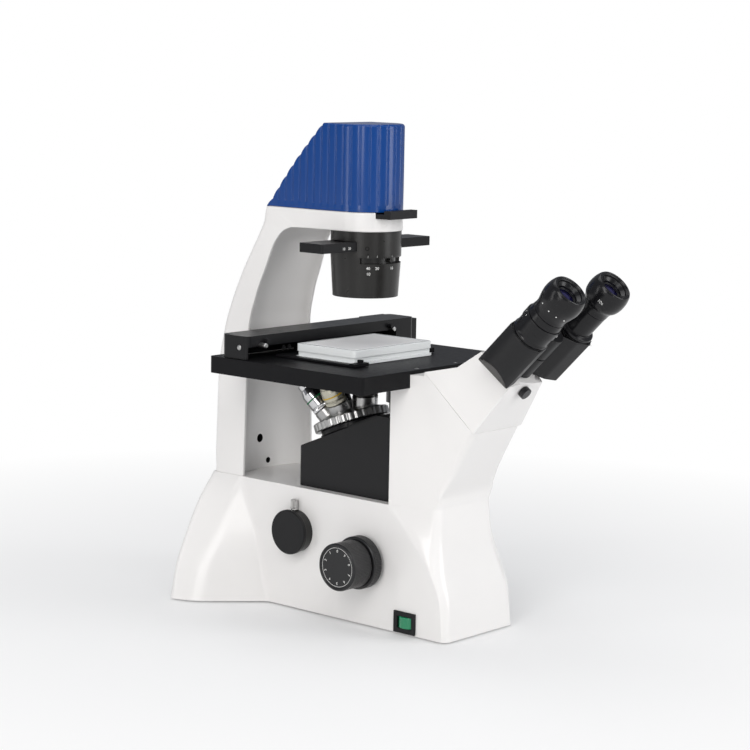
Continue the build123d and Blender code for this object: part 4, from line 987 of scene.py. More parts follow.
@dataclass(frozen=True)
class BaseCasting:
    """White casting: a hollow base that flares at its rear foot and its nose, and the tower on its front."""

    low: float = 2.0
    top: float = 137.0
    side: float = 58.0
    wall: float = 4.0
    roof: float = 5.0
    rear_y: float = 174.0
    tower_back: float = -89.0
    tower_top: float = 277.0
    under_stage: float = 262.9
    stage_front: float = -111.1
    seam_rise: float = 408.5
    seam_top_y: float = -127.5
    crease: float = 150.0
    nose_soft: float = 5.0
    bend_steps: int = 6
    # First and last point of the outline's front part, in the middles of the two cheeks' bends
    front_part: tuple[int, int] = (3, 38)
    levels: tuple[float, ...] = (0.0, 0.28, 0.54, 0.785, 1.0)
    tower_levels: tuple[float, ...] = (137.0, 149.0, 153.0, 160.0, 180.0, 200.0, 226.0, 300.0)
    front_y: tuple[float, ...] = (-146.0, -147.3, -148.7, -152.2, -163.1, -174.0, -188.2, -228.6)
    front_half: tuple[float, ...] = (39.7, 41.0, 41.6, 41.4, 40.6, 40.2, 40.0, 40.0)
    crease_y: tuple[float, ...] = (-141.1, -147.0, -147.2, -144.8, -140.3, -136.7, -132.1, -121.0)
    crease_x: tuple[float, ...] = (45.9, 44.5, 44.5, 44.9, 46.0, 46.7, 47.9, 50.7)

    def corners(self, height: Array) -> Array:
        """Corners of the outline at each height: front, crease, cheek, heel, ridge and rear on the user's
        right. Each runs from its low place to its high one by a share read from a smooth table.

        Args:
            height: Heights of the levels.

        Returns:
            Array of levels by corners by (x, y).
        """
        share = (height - self.low) / (self.top - self.low)
        # One row for each level, from the lowest up: rear half, ridge half, ridge y, heel y, cheek y, nose
        # half and nose y
        table = np.array([
            (127.0, 118.0, 143.5, 84.0, -164.0, 58.0, -170.0),
            (118.3, 105.7, 140.7, 93.7, -161.0, 55.5, -166.4),
            (102.5, 86.3, 136.4, 102.5, -147.0, 51.0, -154.4),
            (84.1, 69.4, 132.6, 117.6, -123.0, 47.0, -147.4),
            (60.0, 58.0, 130.0, 126.0, -89.0, 44.7, -146.0)])
        rear, ridge, ridge_y, heel_y, cheek_y, nose, nose_y = smooth_table(self.levels, table, share).T
        side = np.full_like(share, self.side)
        soft = self.nose_soft
        run = np.stack([side - nose, cheek_y - nose_y], axis=1)
        run = run / np.linalg.norm(run, axis=1)[:, None] * soft
        front = np.stack([nose - soft, nose_y], axis=1)
        bend = np.stack([nose, nose_y], axis=1) + run
        back = np.full_like(side, self.rear_y)
        pairs = ((side, cheek_y), (side, heel_y), (ridge, ridge_y), (rear, back))
        return np.stack([front, bend, *(np.stack(pair, axis=1) for pair in pairs)], axis=1)

    def outline(self, right: Array, share: float, amount: float = 0.0) -> Array:
        """Closed outline at one height from its right half, softened at each corner.

        Args:
            right: Corners on the right, from front to rear.
            share: Height as a share of the base.
            amount: Inset.

        Returns:
            Rows of (x, y), anticlockwise from the left cheek round the front.
        """
        left = right[::-1] * (-1, 1)
        loop = np.vstack([left[3:], right, left[:3]])
        half = [6.0, 5.0, 9.0, 5.0, 16.0 - 12.0 * share, 9.0]
        reach = half[::-1][3:] + half + half[::-1][:3]
        return softened(inset(loop, amount) if amount else loop, reach, self.bend_steps, closed=True)

    def levels_of(self, count: int, amount: float = 0.0) -> Array:
        """Outlines at evenly spaced heights from the lowest level to the roof.

        Args:
            count: How many heights.
            amount: Inset of the outlines.

        Returns:
            Grid of points, levels by points of an outline.
        """
        heights = np.linspace(self.low, self.top, count)
        shares = (heights - self.low) / (self.top - self.low)
        loops = [self.outline(corner, share, amount) for corner, share in zip(self.corners(heights), shares)]
        return np.array([np.column_stack([loop, np.full(len(loop), height)])
                         for loop, height in zip(loops, heights)])

    def tower_outline(self, height: float) -> Array:
        """Front part of the outline above the base: back corner, crease and front on both sides.

        Args:
            height: Height of the level.

        Returns:
            Rows of (x, y) with as many points as the front part of the base outline.
        """
        at = self.tower_levels
        crease = (float(np.interp(height, at, self.crease_x)), float(np.interp(height, at, self.crease_y)))
        front = (float(np.interp(height, at, self.front_half)), float(np.interp(height, at, self.front_y)))
        right = np.array([front, crease, (self.side, self.tower_back)])
        loop = np.vstack([right[::-1] * (-1, 1), right])
        front_soft = 6.0 if height < self.crease else 9.6
        return softened(loop, [1.2, 5.0, front_soft, front_soft, 5.0, 1.2], self.bend_steps, closed=True)

    def walls(self, amount: float, low: float, top: float) -> Skin:
        """Closed body inside the base: inset outlines, stretched to its own floor and roof and capped.

        Args:
            amount: Inset of the outlines.
            low: Height of its floor.
            top: Height of its roof.

        Returns:
            The skin.
        """
        grid = self.levels_of(40, amount)
        grid[:, :, 2] = low + (top - low) * (grid[:, :, 2] - self.low) / (self.top - self.low)
        return Skin().grid(grid).cap(grid[0]).cap(grid[-1])

    def shell(self) -> Skin:
        """Outer form: the walls of the base, whose front part runs on into the tower, the flat roof behind
        it, the back of the tower and its top."""
        rows = self.levels_of(56)
        first, last = self.front_part
        corner_x = self.side - 0.1
        rows[-1][first] = (-corner_x, self.tower_back, self.top)
        rows[-1][last] = (corner_x, self.tower_back, self.top)
        tower_rows = [rows[-1][first:last + 1]]
        for height in np.concatenate([np.linspace(138, 160, 12), np.linspace(165, 300, 24)]):
            part = self.tower_outline(float(height))[first:last + 1]
            tower_rows.append(np.column_stack([part, np.full(len(part), height)]))
        tower = np.array(tower_rows)
        tower[1:, 0, :2] = (-corner_x, self.tower_back)
        tower[1:, -1, :2] = (corner_x, self.tower_back)
        back = np.stack([tower[:, -1], tower[:, 0]], axis=1)
        rear_loop = np.vstack([rows[-1][last:], rows[-1][:first + 1]])
        skin = Skin().grid(rows).cap(rows[0]).grid(tower, wrap=False).cap(tower[-1])
        return skin.grid(back, wrap=False).cap(rear_loop)

    def build(self) -> None:
        """Make the casting: the outer form, hollowed from below and cut for the stage, the head and what
        passes through its walls."""
        piece = self.shell().piece("white_casting", "stand", WHITE, ["base_casting"], bevel=1.1, sharp=40)
        hollow = self.walls(self.wall, self.low - 6, self.top - self.roof)
        opening = Skin().prism(box_outline(-31.5, 31.5, -59.0, 46.0, 2.0), self.top - 12, self.top + 6,
                               edge=0.3)
        carve(piece, [self.above_seam(), hollow, opening, *self.passages()], "casting_cut")
        trim_below(piece, self.low)

    def above_seam(self) -> Skin:
        """What is cut off the tower: a block over the stage's seat, the step behind the head and the slanted
        seam of the head's mount, whose height is y + seam_rise."""
        far, high, half = -260.0, 320.0, 80.0
        side_view = np.array([
            (self.stage_front, self.tower_top), (self.seam_top_y, self.tower_top),
            (self.seam_top_y, self.seam_top_y + self.seam_rise), (far, far + self.seam_rise), (far, high),
            (-60.0, high), (-60.0, self.under_stage), (self.stage_front, self.under_stage)])
        axes = Axes((0, 0, 0), (1, 0, 0), (0, 1, 0))
        ends = np.array([axes.at(*side_view.T, np.full(len(side_view), x)) for x in (-half, half)])
        return Skin().grid(ends).cap(ends[0]).cap(ends[1])

    def passages(self) -> list[Skin]:
        """Holes in the side and rear walls, for the focus shaft on both sides, the port, the dial, the switch
        and the inlet."""
        bores = []
        places = ((-1, -59, 72, 5.1), (1, -59, 72, 5.1), (-1, 42, 89, 18.1), (1, -112, 62, 3.1))
        for side, y, z, radius in places:
            bores.append(pin(radius, 0.0, 20.0, Axes((50 * side, y, z), (side, 0, 0), (0, 0, 1)), 48))
        switch = Skin().prism(box_outline(-64, -50, -127.4, -103.2, 0.5), 5.1, 23.9, edge=0.2)
        inlet = Skin().prism(box_outline(-57.1, -26.9, 165, 180, 0.5), 24.4, 47.6, edge=0.2)
        return [*bores, switch, inlet]


@dataclass(frozen=True)
class Underside:
    """Bottom plate, screws and feet."""

    def build(self) -> None:
        """Give each its finish."""
        paint("bottom_plate", BLACK_ENAMEL)
        paint("cap_screws", STEEL)
        refined("rubber_feet", RUBBER, 0.5)


# Rear arm, lamp head and cover


@dataclass(frozen=True)
class RearArm:
    """White arm that carries the lamp: a pillar with a scooped front that curves forward into the head."""

    low: float = 137.1
    head_low: float = 418.0
    head_top: float = 439.0
    head_r: float = 39.5
    head_half: float = 42.0
    wide_y: float = 70.0
    trough: float = 20.0
    lip: float = 3.0
    rear_soft: float = 7.0
    front_line: tuple[tuple[float, float], ...] = (
        (127.0, 137.1), (127.0, 170.0), (127.0, 250.0), (127.0, 300.0), (119.0, 338.0), (107.0, 369.0),
        (93.5, 402.0), (83.0, 413.6), (71.0, 417.6), (62.0, 418.0), (54.0, 418.0))
    rear_line: tuple[tuple[float, float], ...] = (
        (172.0, 137.1), (173.8, 170.0), (173.6, 245.0), (166.5, 299.0), (155.6, 335.0), (143.0, 365.0),
        (124.0, 402.0), (115.5, 421.0), (109.0, 439.0), (90.0, 439.0), (54.0, 439.0))
    halves: tuple[tuple[float, float], ...] = (
        (57.0, 137.0), (52.0, 281.0), (45.0, 395.0), (42.0, 418.0), (42.0, 440.0))

    def front_plan(self) -> Array:
        """Half round front of the lamp head's plan, from its left end to its right end."""
        angle = np.linspace(math.pi, 2 * math.pi, 49)
        return np.stack([self.head_r * np.cos(angle), self.head_r * np.sin(angle)], axis=1)

    def section(self, front: Array, rear: Array, half: float, scoop: float, fade: float) -> Array:
        """Loop across the arm between a front and a rear point. Across it runs x, and s runs from front to
        rear: the scoop is s = depth * sqrt(1 - (x / (half - lip))^2), and the other corners are softened.

        Args:
            front: Front point (y, z).
            rear: Rear point (y, z).
            half: Half width.
            scoop: Depth of the scoop.
            fade: Share of the rear rounding and of the sides' swell that is left here.

        Returns:
            Rows of points.
        """
        length = float(np.linalg.norm(rear - front))
        inner = half - self.lip
        angle = np.linspace(0, math.pi, 25)
        x_scoop = -inner * np.cos(angle)
        s_scoop = scoop * np.sin(angle)
        soft = 1.5 + min(self.rear_soft - 1.5, 0.3 * length) * fade
        side = [(inner, 0), (half, 0), (half + 0.8 * fade, length * 0.5), (half, length), (0, length + 0.6)]
        right = softened(side, [0, 1.3, 20, soft, 0], 6)[1:]
        left = (right * (-1, 1))[::-1][1:]
        loop = np.vstack([np.stack([x_scoop, s_scoop], axis=1), right, left])
        return np.column_stack([loop[:, 0], front + loop[:, 1:] * (rear - front) / length])

    def build(self) -> None:
        """Make the arm with its holes, the lamp head on it and the pad on its front."""
        piece = self.sweep().piece("white_arm", "stand", WHITE, ["rear_arm"], sharp=42)
        self.lamp_head()
        pad = Skin().prism(box_outline(-36, 36, 138, 160, 1.0), 244, 262, edge=0.8)
        pad.piece("white_pad", "stand", WHITE)
        self.holes(piece)

    def sweep(self) -> Skin:
        """Arm as a sweep of sections between its front and rear lines, which both run through as many
        places. Past the last bend its rear edge is straight up to the head's top."""
        place = np.arange(len(self.front_line), dtype=float)
        fine = np.linspace(0, place[-1], 90)
        front = smooth_table(place, np.array(self.front_line), fine)
        rear = smooth_table(place, np.array(self.rear_line), fine)
        corner = fine >= 8.0
        rear[corner] = np.stack([np.interp(fine[corner], place, np.array(self.rear_line)[:, 0]),
                                 np.full(corner.sum(), self.head_top)], axis=1)
        middle = (front[:, 1] + rear[:, 1]) / 2
        half = np.interp(middle, [z for _, z in self.halves], [x for x, _ in self.halves])
        narrow = self.head_r + (self.head_half - self.head_r) * np.minimum(1, front[:, 0] / self.wide_y)
        half = np.where(fine > 8.5, np.minimum(half, narrow), half)
        fade = np.interp(fine, [6.8, 8.6], [1.0, 0.0])
        scoop = self.trough * np.interp(fine, [0, 3, 5, 6, 7.2, 9, 10], [1, 1, 0.95, 0.8, 0.35, 0.0, 0.0])
        sections = zip(front, rear, half, scoop, fade.tolist())
        rows = np.array([self.section(*section) for section in sections])
        return Skin().grid(rows).cap(rows[0]).cap(rows[-1])

    def lamp_head(self) -> None:
        """Lamp head over the arm: a half round front and a narrower root inside the arm, cut for the filter
        drawer and bored for the lens."""
        root = [(41.4, 54.5), (38.0, 58.0), (38.0, 96.0)]
        left = [(-x, y) for x, y in reversed(root)]
        plan = np.vstack([self.front_plan(), root, left])
        head = Skin().prism(plan, self.head_low, self.head_top - 0.02, edge=1.6, steps=4)
        piece = head.piece("white_lamp_head", "stand", WHITE)
        slot = Skin().prism(box_outline(-22.3, 22.3, -60.0, 27.3, 0.4), 432.2, 446.0, edge=0.1)
        steps = [(0, 416), (18, 416), (18, 420.5), (20.1, 420.5), (20.1, 450), (0, 450)]
        bore = Skin().turn(np.array(steps, float), UP, 64)
        carve(piece, [slot, bore], "head_cut")

    def holes(self, piece: bpy.types.Object) -> None:
        """Cut two round holes in the arm's scoop and line each with a near-black cup, painted shade for the
        hole's depth.

        Args:
            piece: The arm.
        """
        tools = []
        for x, z, radius in ((-10.0, 172.0, 4.9), (4.0, 145.0, 3.4)):
            place = Axes((x, 151.0, z), (0, -1, 0), (1, 0, 0))
            tools.append(pin(radius, -8.0, 9.0, place, 48))
            rim = radius - 0.02
            cup = softened([(rim, 4.2), (radius - 0.5, 4.2), (radius - 0.6, -7.5), (0, -7.5), (0, -7.9),
                            (rim, -7.9), (rim, 4.2)], 0.1, 3)
            # The cup's near-black colour is painted shade for the hole's depth
            Skin().turn(cup, place, 48).piece(f"arm_hole_{int(z)}", "stand", HOLE_SHADE)
        carve(piece, tools, "arm_holes")


@dataclass(frozen=True)
class LampCover:
    """Blue cover over the lamp: flat vertical lands between narrow grooves above a plain band, and a
    scalloped slant at its rear."""

    low: float = 439.3
    top: float = 532.0
    slant_y: float = 30.0
    rear: float = 109.0
    head_r: float = 39.5
    head_half: float = 42.0
    wide_y: float = 70.0
    pitch: float = 10.1
    front_depth: float = 0.7
    side_depth: float = 1.2
    band: float = 7.0
    edge: float = 3.2
    bow: float = 3.4
    groove: float = 0.85
    scallop: float = 2.3
    front_pitches: int = 6

    def bumps(self, run: Array, y: Array) -> Array:
        """Depth of the grooves along a run: depth * exp(-(distance to the nearest groove / width)^2), where
        the depth grows from the round front to the flat side."""
        away = np.abs((run / self.pitch + 0.5) % 1 - 0.5) * self.pitch
        share = np.clip((y + 12) / 24, 0, 1)
        depth = self.front_depth + (self.side_depth - self.front_depth) * share
        return depth * np.exp(-(away / self.groove) ** 2)

    def columns(self, pitches: int) -> Array:
        """Places along a run of so many pitches, close together at each groove and wide on each land."""
        share = np.array([0, 0.04, 0.08, 0.12, 0.17, 0.3, 0.5, 0.7, 0.83, 0.88, 0.92, 0.96])
        return ((np.arange(pitches)[:, None] + share[None]) * self.pitch).ravel()

    def build(self) -> None:
        """Make the cover: half columns from the front round one side to the rear, each carried up to the
        slanted top, mirrored, and joined over the top by a grid across."""
        right = self.half_wall()
        left = right * (-1, 1, 1)
        floor = np.vstack([left[0][::-1], right[0][1:]])
        back = np.stack([right[:, -1], left[:, -1]], axis=1)
        skin = Skin().grid(right, wrap=False).grid(left[:, ::-1], wrap=False)
        skin.grid(self.crown(right[-1]), wrap=False).cap(floor).grid(back, wrap=False)
        skin.piece("blue_lamp_cover", "cover", BLUE, ["lamp_cover"], sharp=60)

    def half_wall(self) -> Array:
        """Right half of the wall: columns along the plan, each from the foot over the band to the crest.

        Returns:
            Grid of points, rows upwards and columns from the front to the rear.
        """
        front_run = self.columns(self.front_pitches)
        angle = front_run / (self.front_pitches * self.pitch) * math.pi / 2
        side_y = self.columns(11)
        side_y = np.append(side_y[side_y < self.rear - 0.3], self.rear - 0.1)
        side_x = np.interp(side_y, [0, self.wide_y], [self.head_r, self.head_half])
        flat = np.zeros(len(side_y))
        plan = np.stack([np.concatenate([self.head_r * np.sin(angle), side_x]),
                         np.concatenate([-self.head_r * np.cos(angle), side_y])], axis=1)
        normal = np.stack([np.concatenate([np.sin(angle), flat + 1]),
                           np.concatenate([-np.cos(angle), flat])], axis=1)
        run = np.concatenate([front_run, side_y + self.front_pitches * self.pitch])
        bump = self.bumps(run, plan[:, 1])
        height = self.crest_height(run, plan[:, 1])
        soft = np.minimum(self.edge, np.maximum(0.02, (height - self.low) * 0.4))
        wall_top = height - soft
        rise = (0, 0.06, self.band - 0.25, self.band + 0.25)
        rows = [(bump * (value > self.band), np.minimum(self.low + value, wall_top)) for value in rise]
        start = rows[-1][1]
        rows += [(bump, start + (wall_top - start) * share) for share in np.linspace(0, 1, 8)[1:]]
        grid = [np.column_stack([plan - normal * cut[:, None], z]) for cut, z in rows]
        # Over the edge the sides lean in, and only the round front also leans back
        lean = normal * np.stack([np.ones(len(run)), plan[:, 1] < 0.5], axis=1)
        for turn in np.linspace(0, math.pi / 2, 6)[1:]:
            into = bump + soft * (1 - np.cos(turn))
            grid.append(np.column_stack([plan - lean * into[:, None], wall_top + soft * np.sin(turn)]))
        return np.array(grid)

    def crest_height(self, run: Array, y: Array) -> Array:
        """Height of the crest: the flat top, then the slant from slant_y down to the rear, bowed by
        bow * sin(pi share) and scalloped by scallop * (1 - |sin(pi run / pitch)|^0.8).

        Args:
            run: Distances along the wall.
            y: Their Y.

        Returns:
            Heights.
        """
        share = np.maximum(0, (y - self.slant_y) / (self.rear - self.slant_y))
        wave = np.abs(np.sin(math.pi * run / self.pitch))
        notch = np.where(y > self.slant_y, self.scallop * (1 - wave ** 0.8), 0.0)
        slant = self.top - share * (self.top - self.low)
        return slant + self.bow * np.sin(math.pi * np.minimum(share, 1)) - notch

    def crown(self, crest: Array) -> Array:
        """Top of the cover: a grid from the right crest across to the left one, raised by
        0.5 * (1 - across^2) over the flat part, but never over the cover's height.

        Args:
            crest: Last row of the right wall.

        Returns:
            Grid of points.
        """
        across = np.linspace(1, -1, 22)[:, None]
        lid = np.repeat(crest[None], len(across), axis=0)
        lid[:, :, 0] *= across
        flat_end, fade = 40, 12
        lid[:, :, 2] += 0.5 * (1 - across ** 2) * np.clip((flat_end - crest[:, 1]) / fade, 0, 1)
        lid[:, :, 2] = np.minimum(lid[:, :, 2], self.top)
        return lid


@dataclass(frozen=True)
class Lamp:
    """What is inside the head: the drawer in its front, the bulb, its socket and the collector lens."""

    def build(self) -> None:
        """Finish the pieces."""
        refined("filter_drawer", MOULDED, 0.8, segments=3)
        refined("lamp_socket", CAP_GREY, 0.4)
        paint("halogen_bulb", BULB)
        paint("collector_lens", GLASS)


# Condenser


@dataclass(frozen=True)
class Condenser:
    """Barrel that hangs under the head, with its slider, aperture ring and lens."""

    foot: float = 347.0
    foot_r: float = 35.56
    shoulder: float = 392.0
    shoulder_r: float = 38.36
    ticks: tuple[float, ...] = (225.0, 240.0, 268.5)
    # Angle, height and characters of each number
    numbers: tuple[tuple[float, float, str], ...] = (
        (225.5, 379.2, "40"), (240.5, 379.2, "20"), (269.0, 379.0, "10"), (226.0, 373.2, "10"))
    slider_numbers: tuple[tuple[float, str], ...] = ((-54.5, "10"), (-45.5, "20"))

    def build(self) -> None:
        """Finish the pieces and print the marks round the barrel."""
        refined("condenser_barrel", TURNED_BLACK, 0.7, segments=3)
        refined("phase_slider", BLACK_ENAMEL, 0.5)
        refined("aperture_ring", TURNED_BLACK, 0.3)
        paint("condenser_lens", GLASS)
        self.marks()

    def spot(self, turn: float, height: float) -> Axes:
        """Place on the barrel's wall, whose radius tapers below the slider, read from left to right."""
        angle = math.radians(turn)
        radius = float(np.interp(height, [self.foot, self.shoulder], [self.foot_r, self.shoulder_r]))
        out = (math.cos(angle), math.sin(angle), 0.0)
        return Axes((radius * out[0], radius * out[1], height), out, (-out[1], out[0], 0.0))

    def marks(self) -> None:
        """White index ticks over the aperture slot, plain numbers under it, marks on the slider and the set
        screw's recess, lined near-black as painted shade."""
        for number, turn in enumerate(self.ticks):
            printed("I", 3.0, self.spot(turn, self.shoulder - 0.1), f"barrel_tick_{number}", "stand")
        for number, (turn, height, text) in enumerate(self.numbers):
            printed(text, 4.4, self.spot(turn, height), f"barrel_number_{number}", "stand")
        slider = body_of("phase_slider")
        for number, (x, text) in enumerate(self.slider_numbers):
            place = Axes((x, -17.05, 401.0), (0, -1, 0), (1, 0, 0))
            printed(text, 4.2, place, f"slider_number_{number}", slider)
        recess = softened([(2.3, -2.5), (2.3, 0.15), (1.9, 0.25), (1.5, 0.0), (1.3, -1.5), (0, -1.6)],
                          0.15, 3)
        # The recess's near-black colour is painted shade
        Skin().turn(recess, self.spot(223.5, 400.5), 32).piece("barrel_set_screw", "stand", HOLE_SHADE)


# Stage, mechanical stage and well plate


@dataclass(frozen=True)
class Stage:
    """Fixed stage with its insert, bracket and rail, and the mechanical stage on it."""

    def build(self) -> None:
        """Finish the fixed pieces, then the moving ones."""
        refined("stage_plate", STAGE_BLACK, 0.7, segments=3)
        refined("stage_insert", STAGE_BLACK, 0.4)
        refined("stage_bracket", BLACK_ENAMEL, 0.8)
        refined("stage_rail", STEEL, 0.4)
        refined("cross_carriage", BLACK_ENAMEL, 0.9, segments=3)
        self.holder()
        for node in ("stage_y_knob", "stage_x_knob"):
            paint(node, KNOB)
        self.guide_pins()
        self.screws()

    def guide_pins(self) -> None:
        """Satin pins on the front of the cross bar, each a turned sleeve with a domed end, a screw in the
        bar's left end and two dark plugs."""
        body = body_of("cross_carriage")
        bar_front = 57.5
        for number, (x, long) in enumerate(((-106.0, 12.5), (108.0, 8.0))):
            profile = softened([(0, long), (2.3, long), (2.9, long - 0.8), (2.9, 0.0), (0, 0.0)], 0.5, 4)
            place = Axes((x, bar_front, 296.0), (0, -1, 0), (1, 0, 0))
            Skin().turn(profile, place, 40).piece(f"guide_pin_{number}", body, SATIN)
        head = softened([(2.9, -0.4), (2.9, 0.5), (2.0, 1.0), (0, 1.1), (0, -0.4)], 0.4, 4)
        Skin().turn(head, Axes((-126.0, 66.0, 294.0), (-1, 0, 0), (0, 1, 0)), 36).piece(
            "bar_end_screw", body, SATIN)
        for number, x in enumerate((-66.0, -57.5)):
            ring = softened([(2.6, -0.3), (2.6, 0.25), (1.9, 0.35), (1.7, -0.2), (0, -0.25)], 0.15, 3)
            place = Axes((x, bar_front, 290.0), (0, -1, 0), (1, 0, 0))
            Skin().turn(ring, place, 36).piece(f"bar_plug_{number}", body, MOULDED)

    def holder(self) -> None:
        """Plate holder: its solid's frame with the corner hook brought down to a thin lip and a small lug."""
        piece = refined("plate_holder", STAGE_BLACK, 0.35)
        low = np.array(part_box("plate_holder")[0]) / MM
        top = Skin().prism(box_outline(low[0] - 2, low[0] + 30, low[1] - 2, low[1] + 14, 0.3), low[2] + 3.6,
                           low[2] + 11.0, edge=0.1)
        carve(piece, [top], "holder_cut")
        lug = Skin().prism(box_outline(low[0] + 10.0, low[0] + 15.0, low[1] + 1.5, low[1] + 6.5, 0.8),
                           low[2] + 3.0, low[2] + 7.0, edge=0.6)
        lug.piece("holder_lug", body_of("plate_holder"), STAGE_BLACK)

    def screws(self) -> None:
        """Socket screws in the front of the stage plate."""
        for number, x in enumerate((-32.0, 32.0)):
            place = Axes((x, -102.0, 279.0), (0, 0, 1), (1, 0, 0))
            socket_screw(f"stage_screw_{number}", place, 2.9, "stand")


def socket_screw(name: str, axes: Axes, radius: float, body: str) -> None:
    """Head of a socket screw: a turned disc whose inner wall is six sided, with the radius
    0.5 * r * cos 30 / cos(((angle + 30) mod 60) - 30) inside the socket.

    Args:
        name: Name of the piece.
        axes: Centre of the head's underside, and its direction.
        radius: Radius of the head.
        body: Body that it rides on.
    """
    profile = radius * np.array([(1, 0), (1, 0.45), (0.88, 0.62), (0.5, 0.62), (0.5, 0.58), (0.5, 0.15),
                                 (0, 0.1)])
    socket_rows = (4, 5)
    segments = 48
    grid = turned(profile, axes, segments)
    angle = np.linspace(0, 2 * math.pi, segments, endpoint=False)
    turn = np.mod(angle + math.pi / 6, math.pi / 3) - math.pi / 6
    wall = 0.5 * radius * math.cos(math.pi / 6) / np.cos(turn)
    for row in socket_rows:
        grid[row] = axes.at(wall * np.cos(angle), wall * np.sin(angle), profile[row, 1])
    Skin().grid(grid).cap(grid[0]).piece(name, body, STEEL)


@dataclass(frozen=True)
class WellPlate:
    """Clear plate with 96 wells and a lid with a frosted middle, in the box of their solids."""

    pitch: float = 9.0
    columns: int = 12
    rows: int = 8
    well_r: float = 3.4
    well_wall: float = 0.6
    flange: float = 2.5
    wall: float = 1.1
    corner: float = 4.0
    border: float = 7.5

    def build(self) -> None:
        """Make the plate's skirt, deck and wells, then the lid."""
        low, high = (np.array(corner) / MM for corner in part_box("well_plate"))
        body = body_of("well_plate")
        foot = box_outline(low[0], high[0], low[1], high[1], self.corner)
        skirt = Skin().grid(self.ring(foot, low[2], low[2] + self.flange))
        inner = inset(foot, 2.2)
        skirt.grid(self.ring(inner, low[2] + self.flange - 0.2, high[2] - 0.2))
        skirt.piece("plate_skirt", body, CLEAR, ["well_plate"])
        deck = Skin().prism(inset(foot, 2.3), high[2] - 1.3, high[2] - 0.3, edge=0.3)
        deck.piece("plate_deck", body, CLEAR)
        centre = (low + high) / 2
        x = centre[0] + (np.arange(self.columns) - (self.columns - 1) / 2) * self.pitch
        y = centre[1] + (np.arange(self.rows) - (self.rows - 1) / 2) * self.pitch
        wells = Skin()
        r, w, bottom, top = self.well_r, self.well_wall, low[2] + 2.6, high[2]
        profile = np.array([(0, bottom), (r, bottom), (r, top), (r - w, top), (r - w, bottom + w),
                            (0, bottom + w)])
        for place in np.stack(np.meshgrid(x, y), axis=-1).reshape(-1, 2):
            wells.turn(profile, Axes((place[0], place[1], 0.0), (0, 0, 1), (1, 0, 0)), 20)
        wells.piece("plate_wells", body, TUBES)
        self.lid()

    def ring(self, outline: Array, low: float, high: float) -> Array:
        """Grid of an upright wall: its outer and inner faces at both heights, closed on itself."""
        inner = inset(outline, self.wall)
        layers = [(outline, low), (outline, high), (inner, high), (inner, low), (outline, low)]
        return np.array([np.column_stack([loop, np.full(len(loop), height)]) for loop, height in layers])

    def lid(self) -> None:
        """Lid: a clear skirt and border with a raised bead, and a frosted panel in its middle."""
        low, high = (np.array(corner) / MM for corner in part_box("well_plate_lid"))
        body = body_of("well_plate_lid")
        edge = box_outline(low[0], high[0], low[1], high[1], self.corner)
        skirt = Skin().grid(self.ring(edge, low[2], high[2] - 0.4))
        skirt.piece("lid_skirt", body, CLEAR, ["well_plate_lid"])
        top = Skin().prism(inset(edge, 0.4), high[2] - 1.2, high[2] - 0.2, edge=0.35)
        top.piece("lid_border", body, CLEAR)
        bead = inset(edge, 1.0)
        Skin().grid(self.ring(bead, high[2] - 0.5, high[2])).piece("lid_bead", body, TUBES)
        panel = box_outline(low[0] + self.border, high[0] - self.border, low[1] + self.border * 0.8,
                            high[1] - self.border * 0.8, 3.0)
        Skin().prism(panel, high[2] - 0.6, high[2] - 0.05, edge=0.2).piece("lid_panel", body, FROSTED)


# Focus unit: housing, carriage, turret and objectives


APEX: Point = (0.0, 0.0, 168.5)
TILT = math.radians(22.5)
TURRET = Axes(APEX, (0.0, math.sin(TILT), math.cos(TILT)), (1.0, 0.0, 0.0))


def objective_axes(number: int, start: float) -> Axes:
    """Axes of one objective. Its direction is the vertical turned round the turret axis k by
    v cos a + (k x v) sin a + k (k . v) (1 - cos a), a fifth of a turn each.

    Args:
        number: Which objective; 0 is the vertical one.
        start: Distance of the origin from the apex.

    Returns:
        The axes.
    """
    turn = 2 * math.pi * number / 5
    axis = unit(TURRET.along)
    up = np.array([0.0, 0.0, 1.0])
    along = (up * math.cos(turn) + np.cross(axis, up) * math.sin(turn)
             + axis * float(axis @ up) * (1 - math.cos(turn)))
    return Axes(tuple(np.array(APEX) + along * start), tuple(along), (1, 0, 0))


@dataclass(frozen=True)
class Objective:
    """One objective: a knurled mounting ring, a body with its colour band, and a coned tip."""

    node: str
    number: int
    length: float
    tip_r: float
    lens_r: float
    shell: Finish
    band: Finish
    body_r: float = 12.0
    seat: float = 68.1

    def build(self) -> None:
        """Turn the body, the bands and the front lens."""
        axes = objective_axes(self.number, self.seat)
        body = body_of(self.node)
        shoulder = self.length * 0.62
        cone = self.length * 0.8
        top = self.length
        profile = softened([(self.lens_r, 0), (self.body_r - 0.6, 0), (self.body_r, 0.6), (self.body_r, 4.2),
                            (self.body_r - 0.7, 4.6), (self.body_r - 0.7, 5.4), (self.body_r, 5.8),
                            (self.body_r, shoulder), (self.tip_r + 0.6, cone), (self.tip_r, cone + 0.5),
                            (self.tip_r, top - 1.0), (self.tip_r - 1.0, top), (self.lens_r, top),
                            (self.lens_r, 0)], 0.35, 3)
        knurl = flutes(60, 0.35, 0.9, 4.1, 0.4, 0.0)
        Skin().turn(filled(profile, 0.9), axes, 240, knurl).piece(f"{self.node}_barrel", body, self.shell,
                                                                 [self.node])
        under, over = self.body_r + 0.02, self.body_r + 0.12
        low, high = shoulder * 0.62, shoulder * 0.62 + 1.6
        ring = softened([(under, low), (over, low), (over, high), (under, high), (under, low)], 0.02, 2)
        Skin().turn(ring, axes, 96).piece(f"{self.node}_band", body, self.band)
        lens = softened([(0, top - 0.9), (self.lens_r * 0.7, top - 1.0), (self.lens_r - 0.05, top - 1.4),
                         (self.lens_r - 0.05, top - 3.0), (0, top - 3.0)], 0.3, 4)
        Skin().turn(lens, axes, 64).piece(f"{self.node}_lens", body, GLASS)


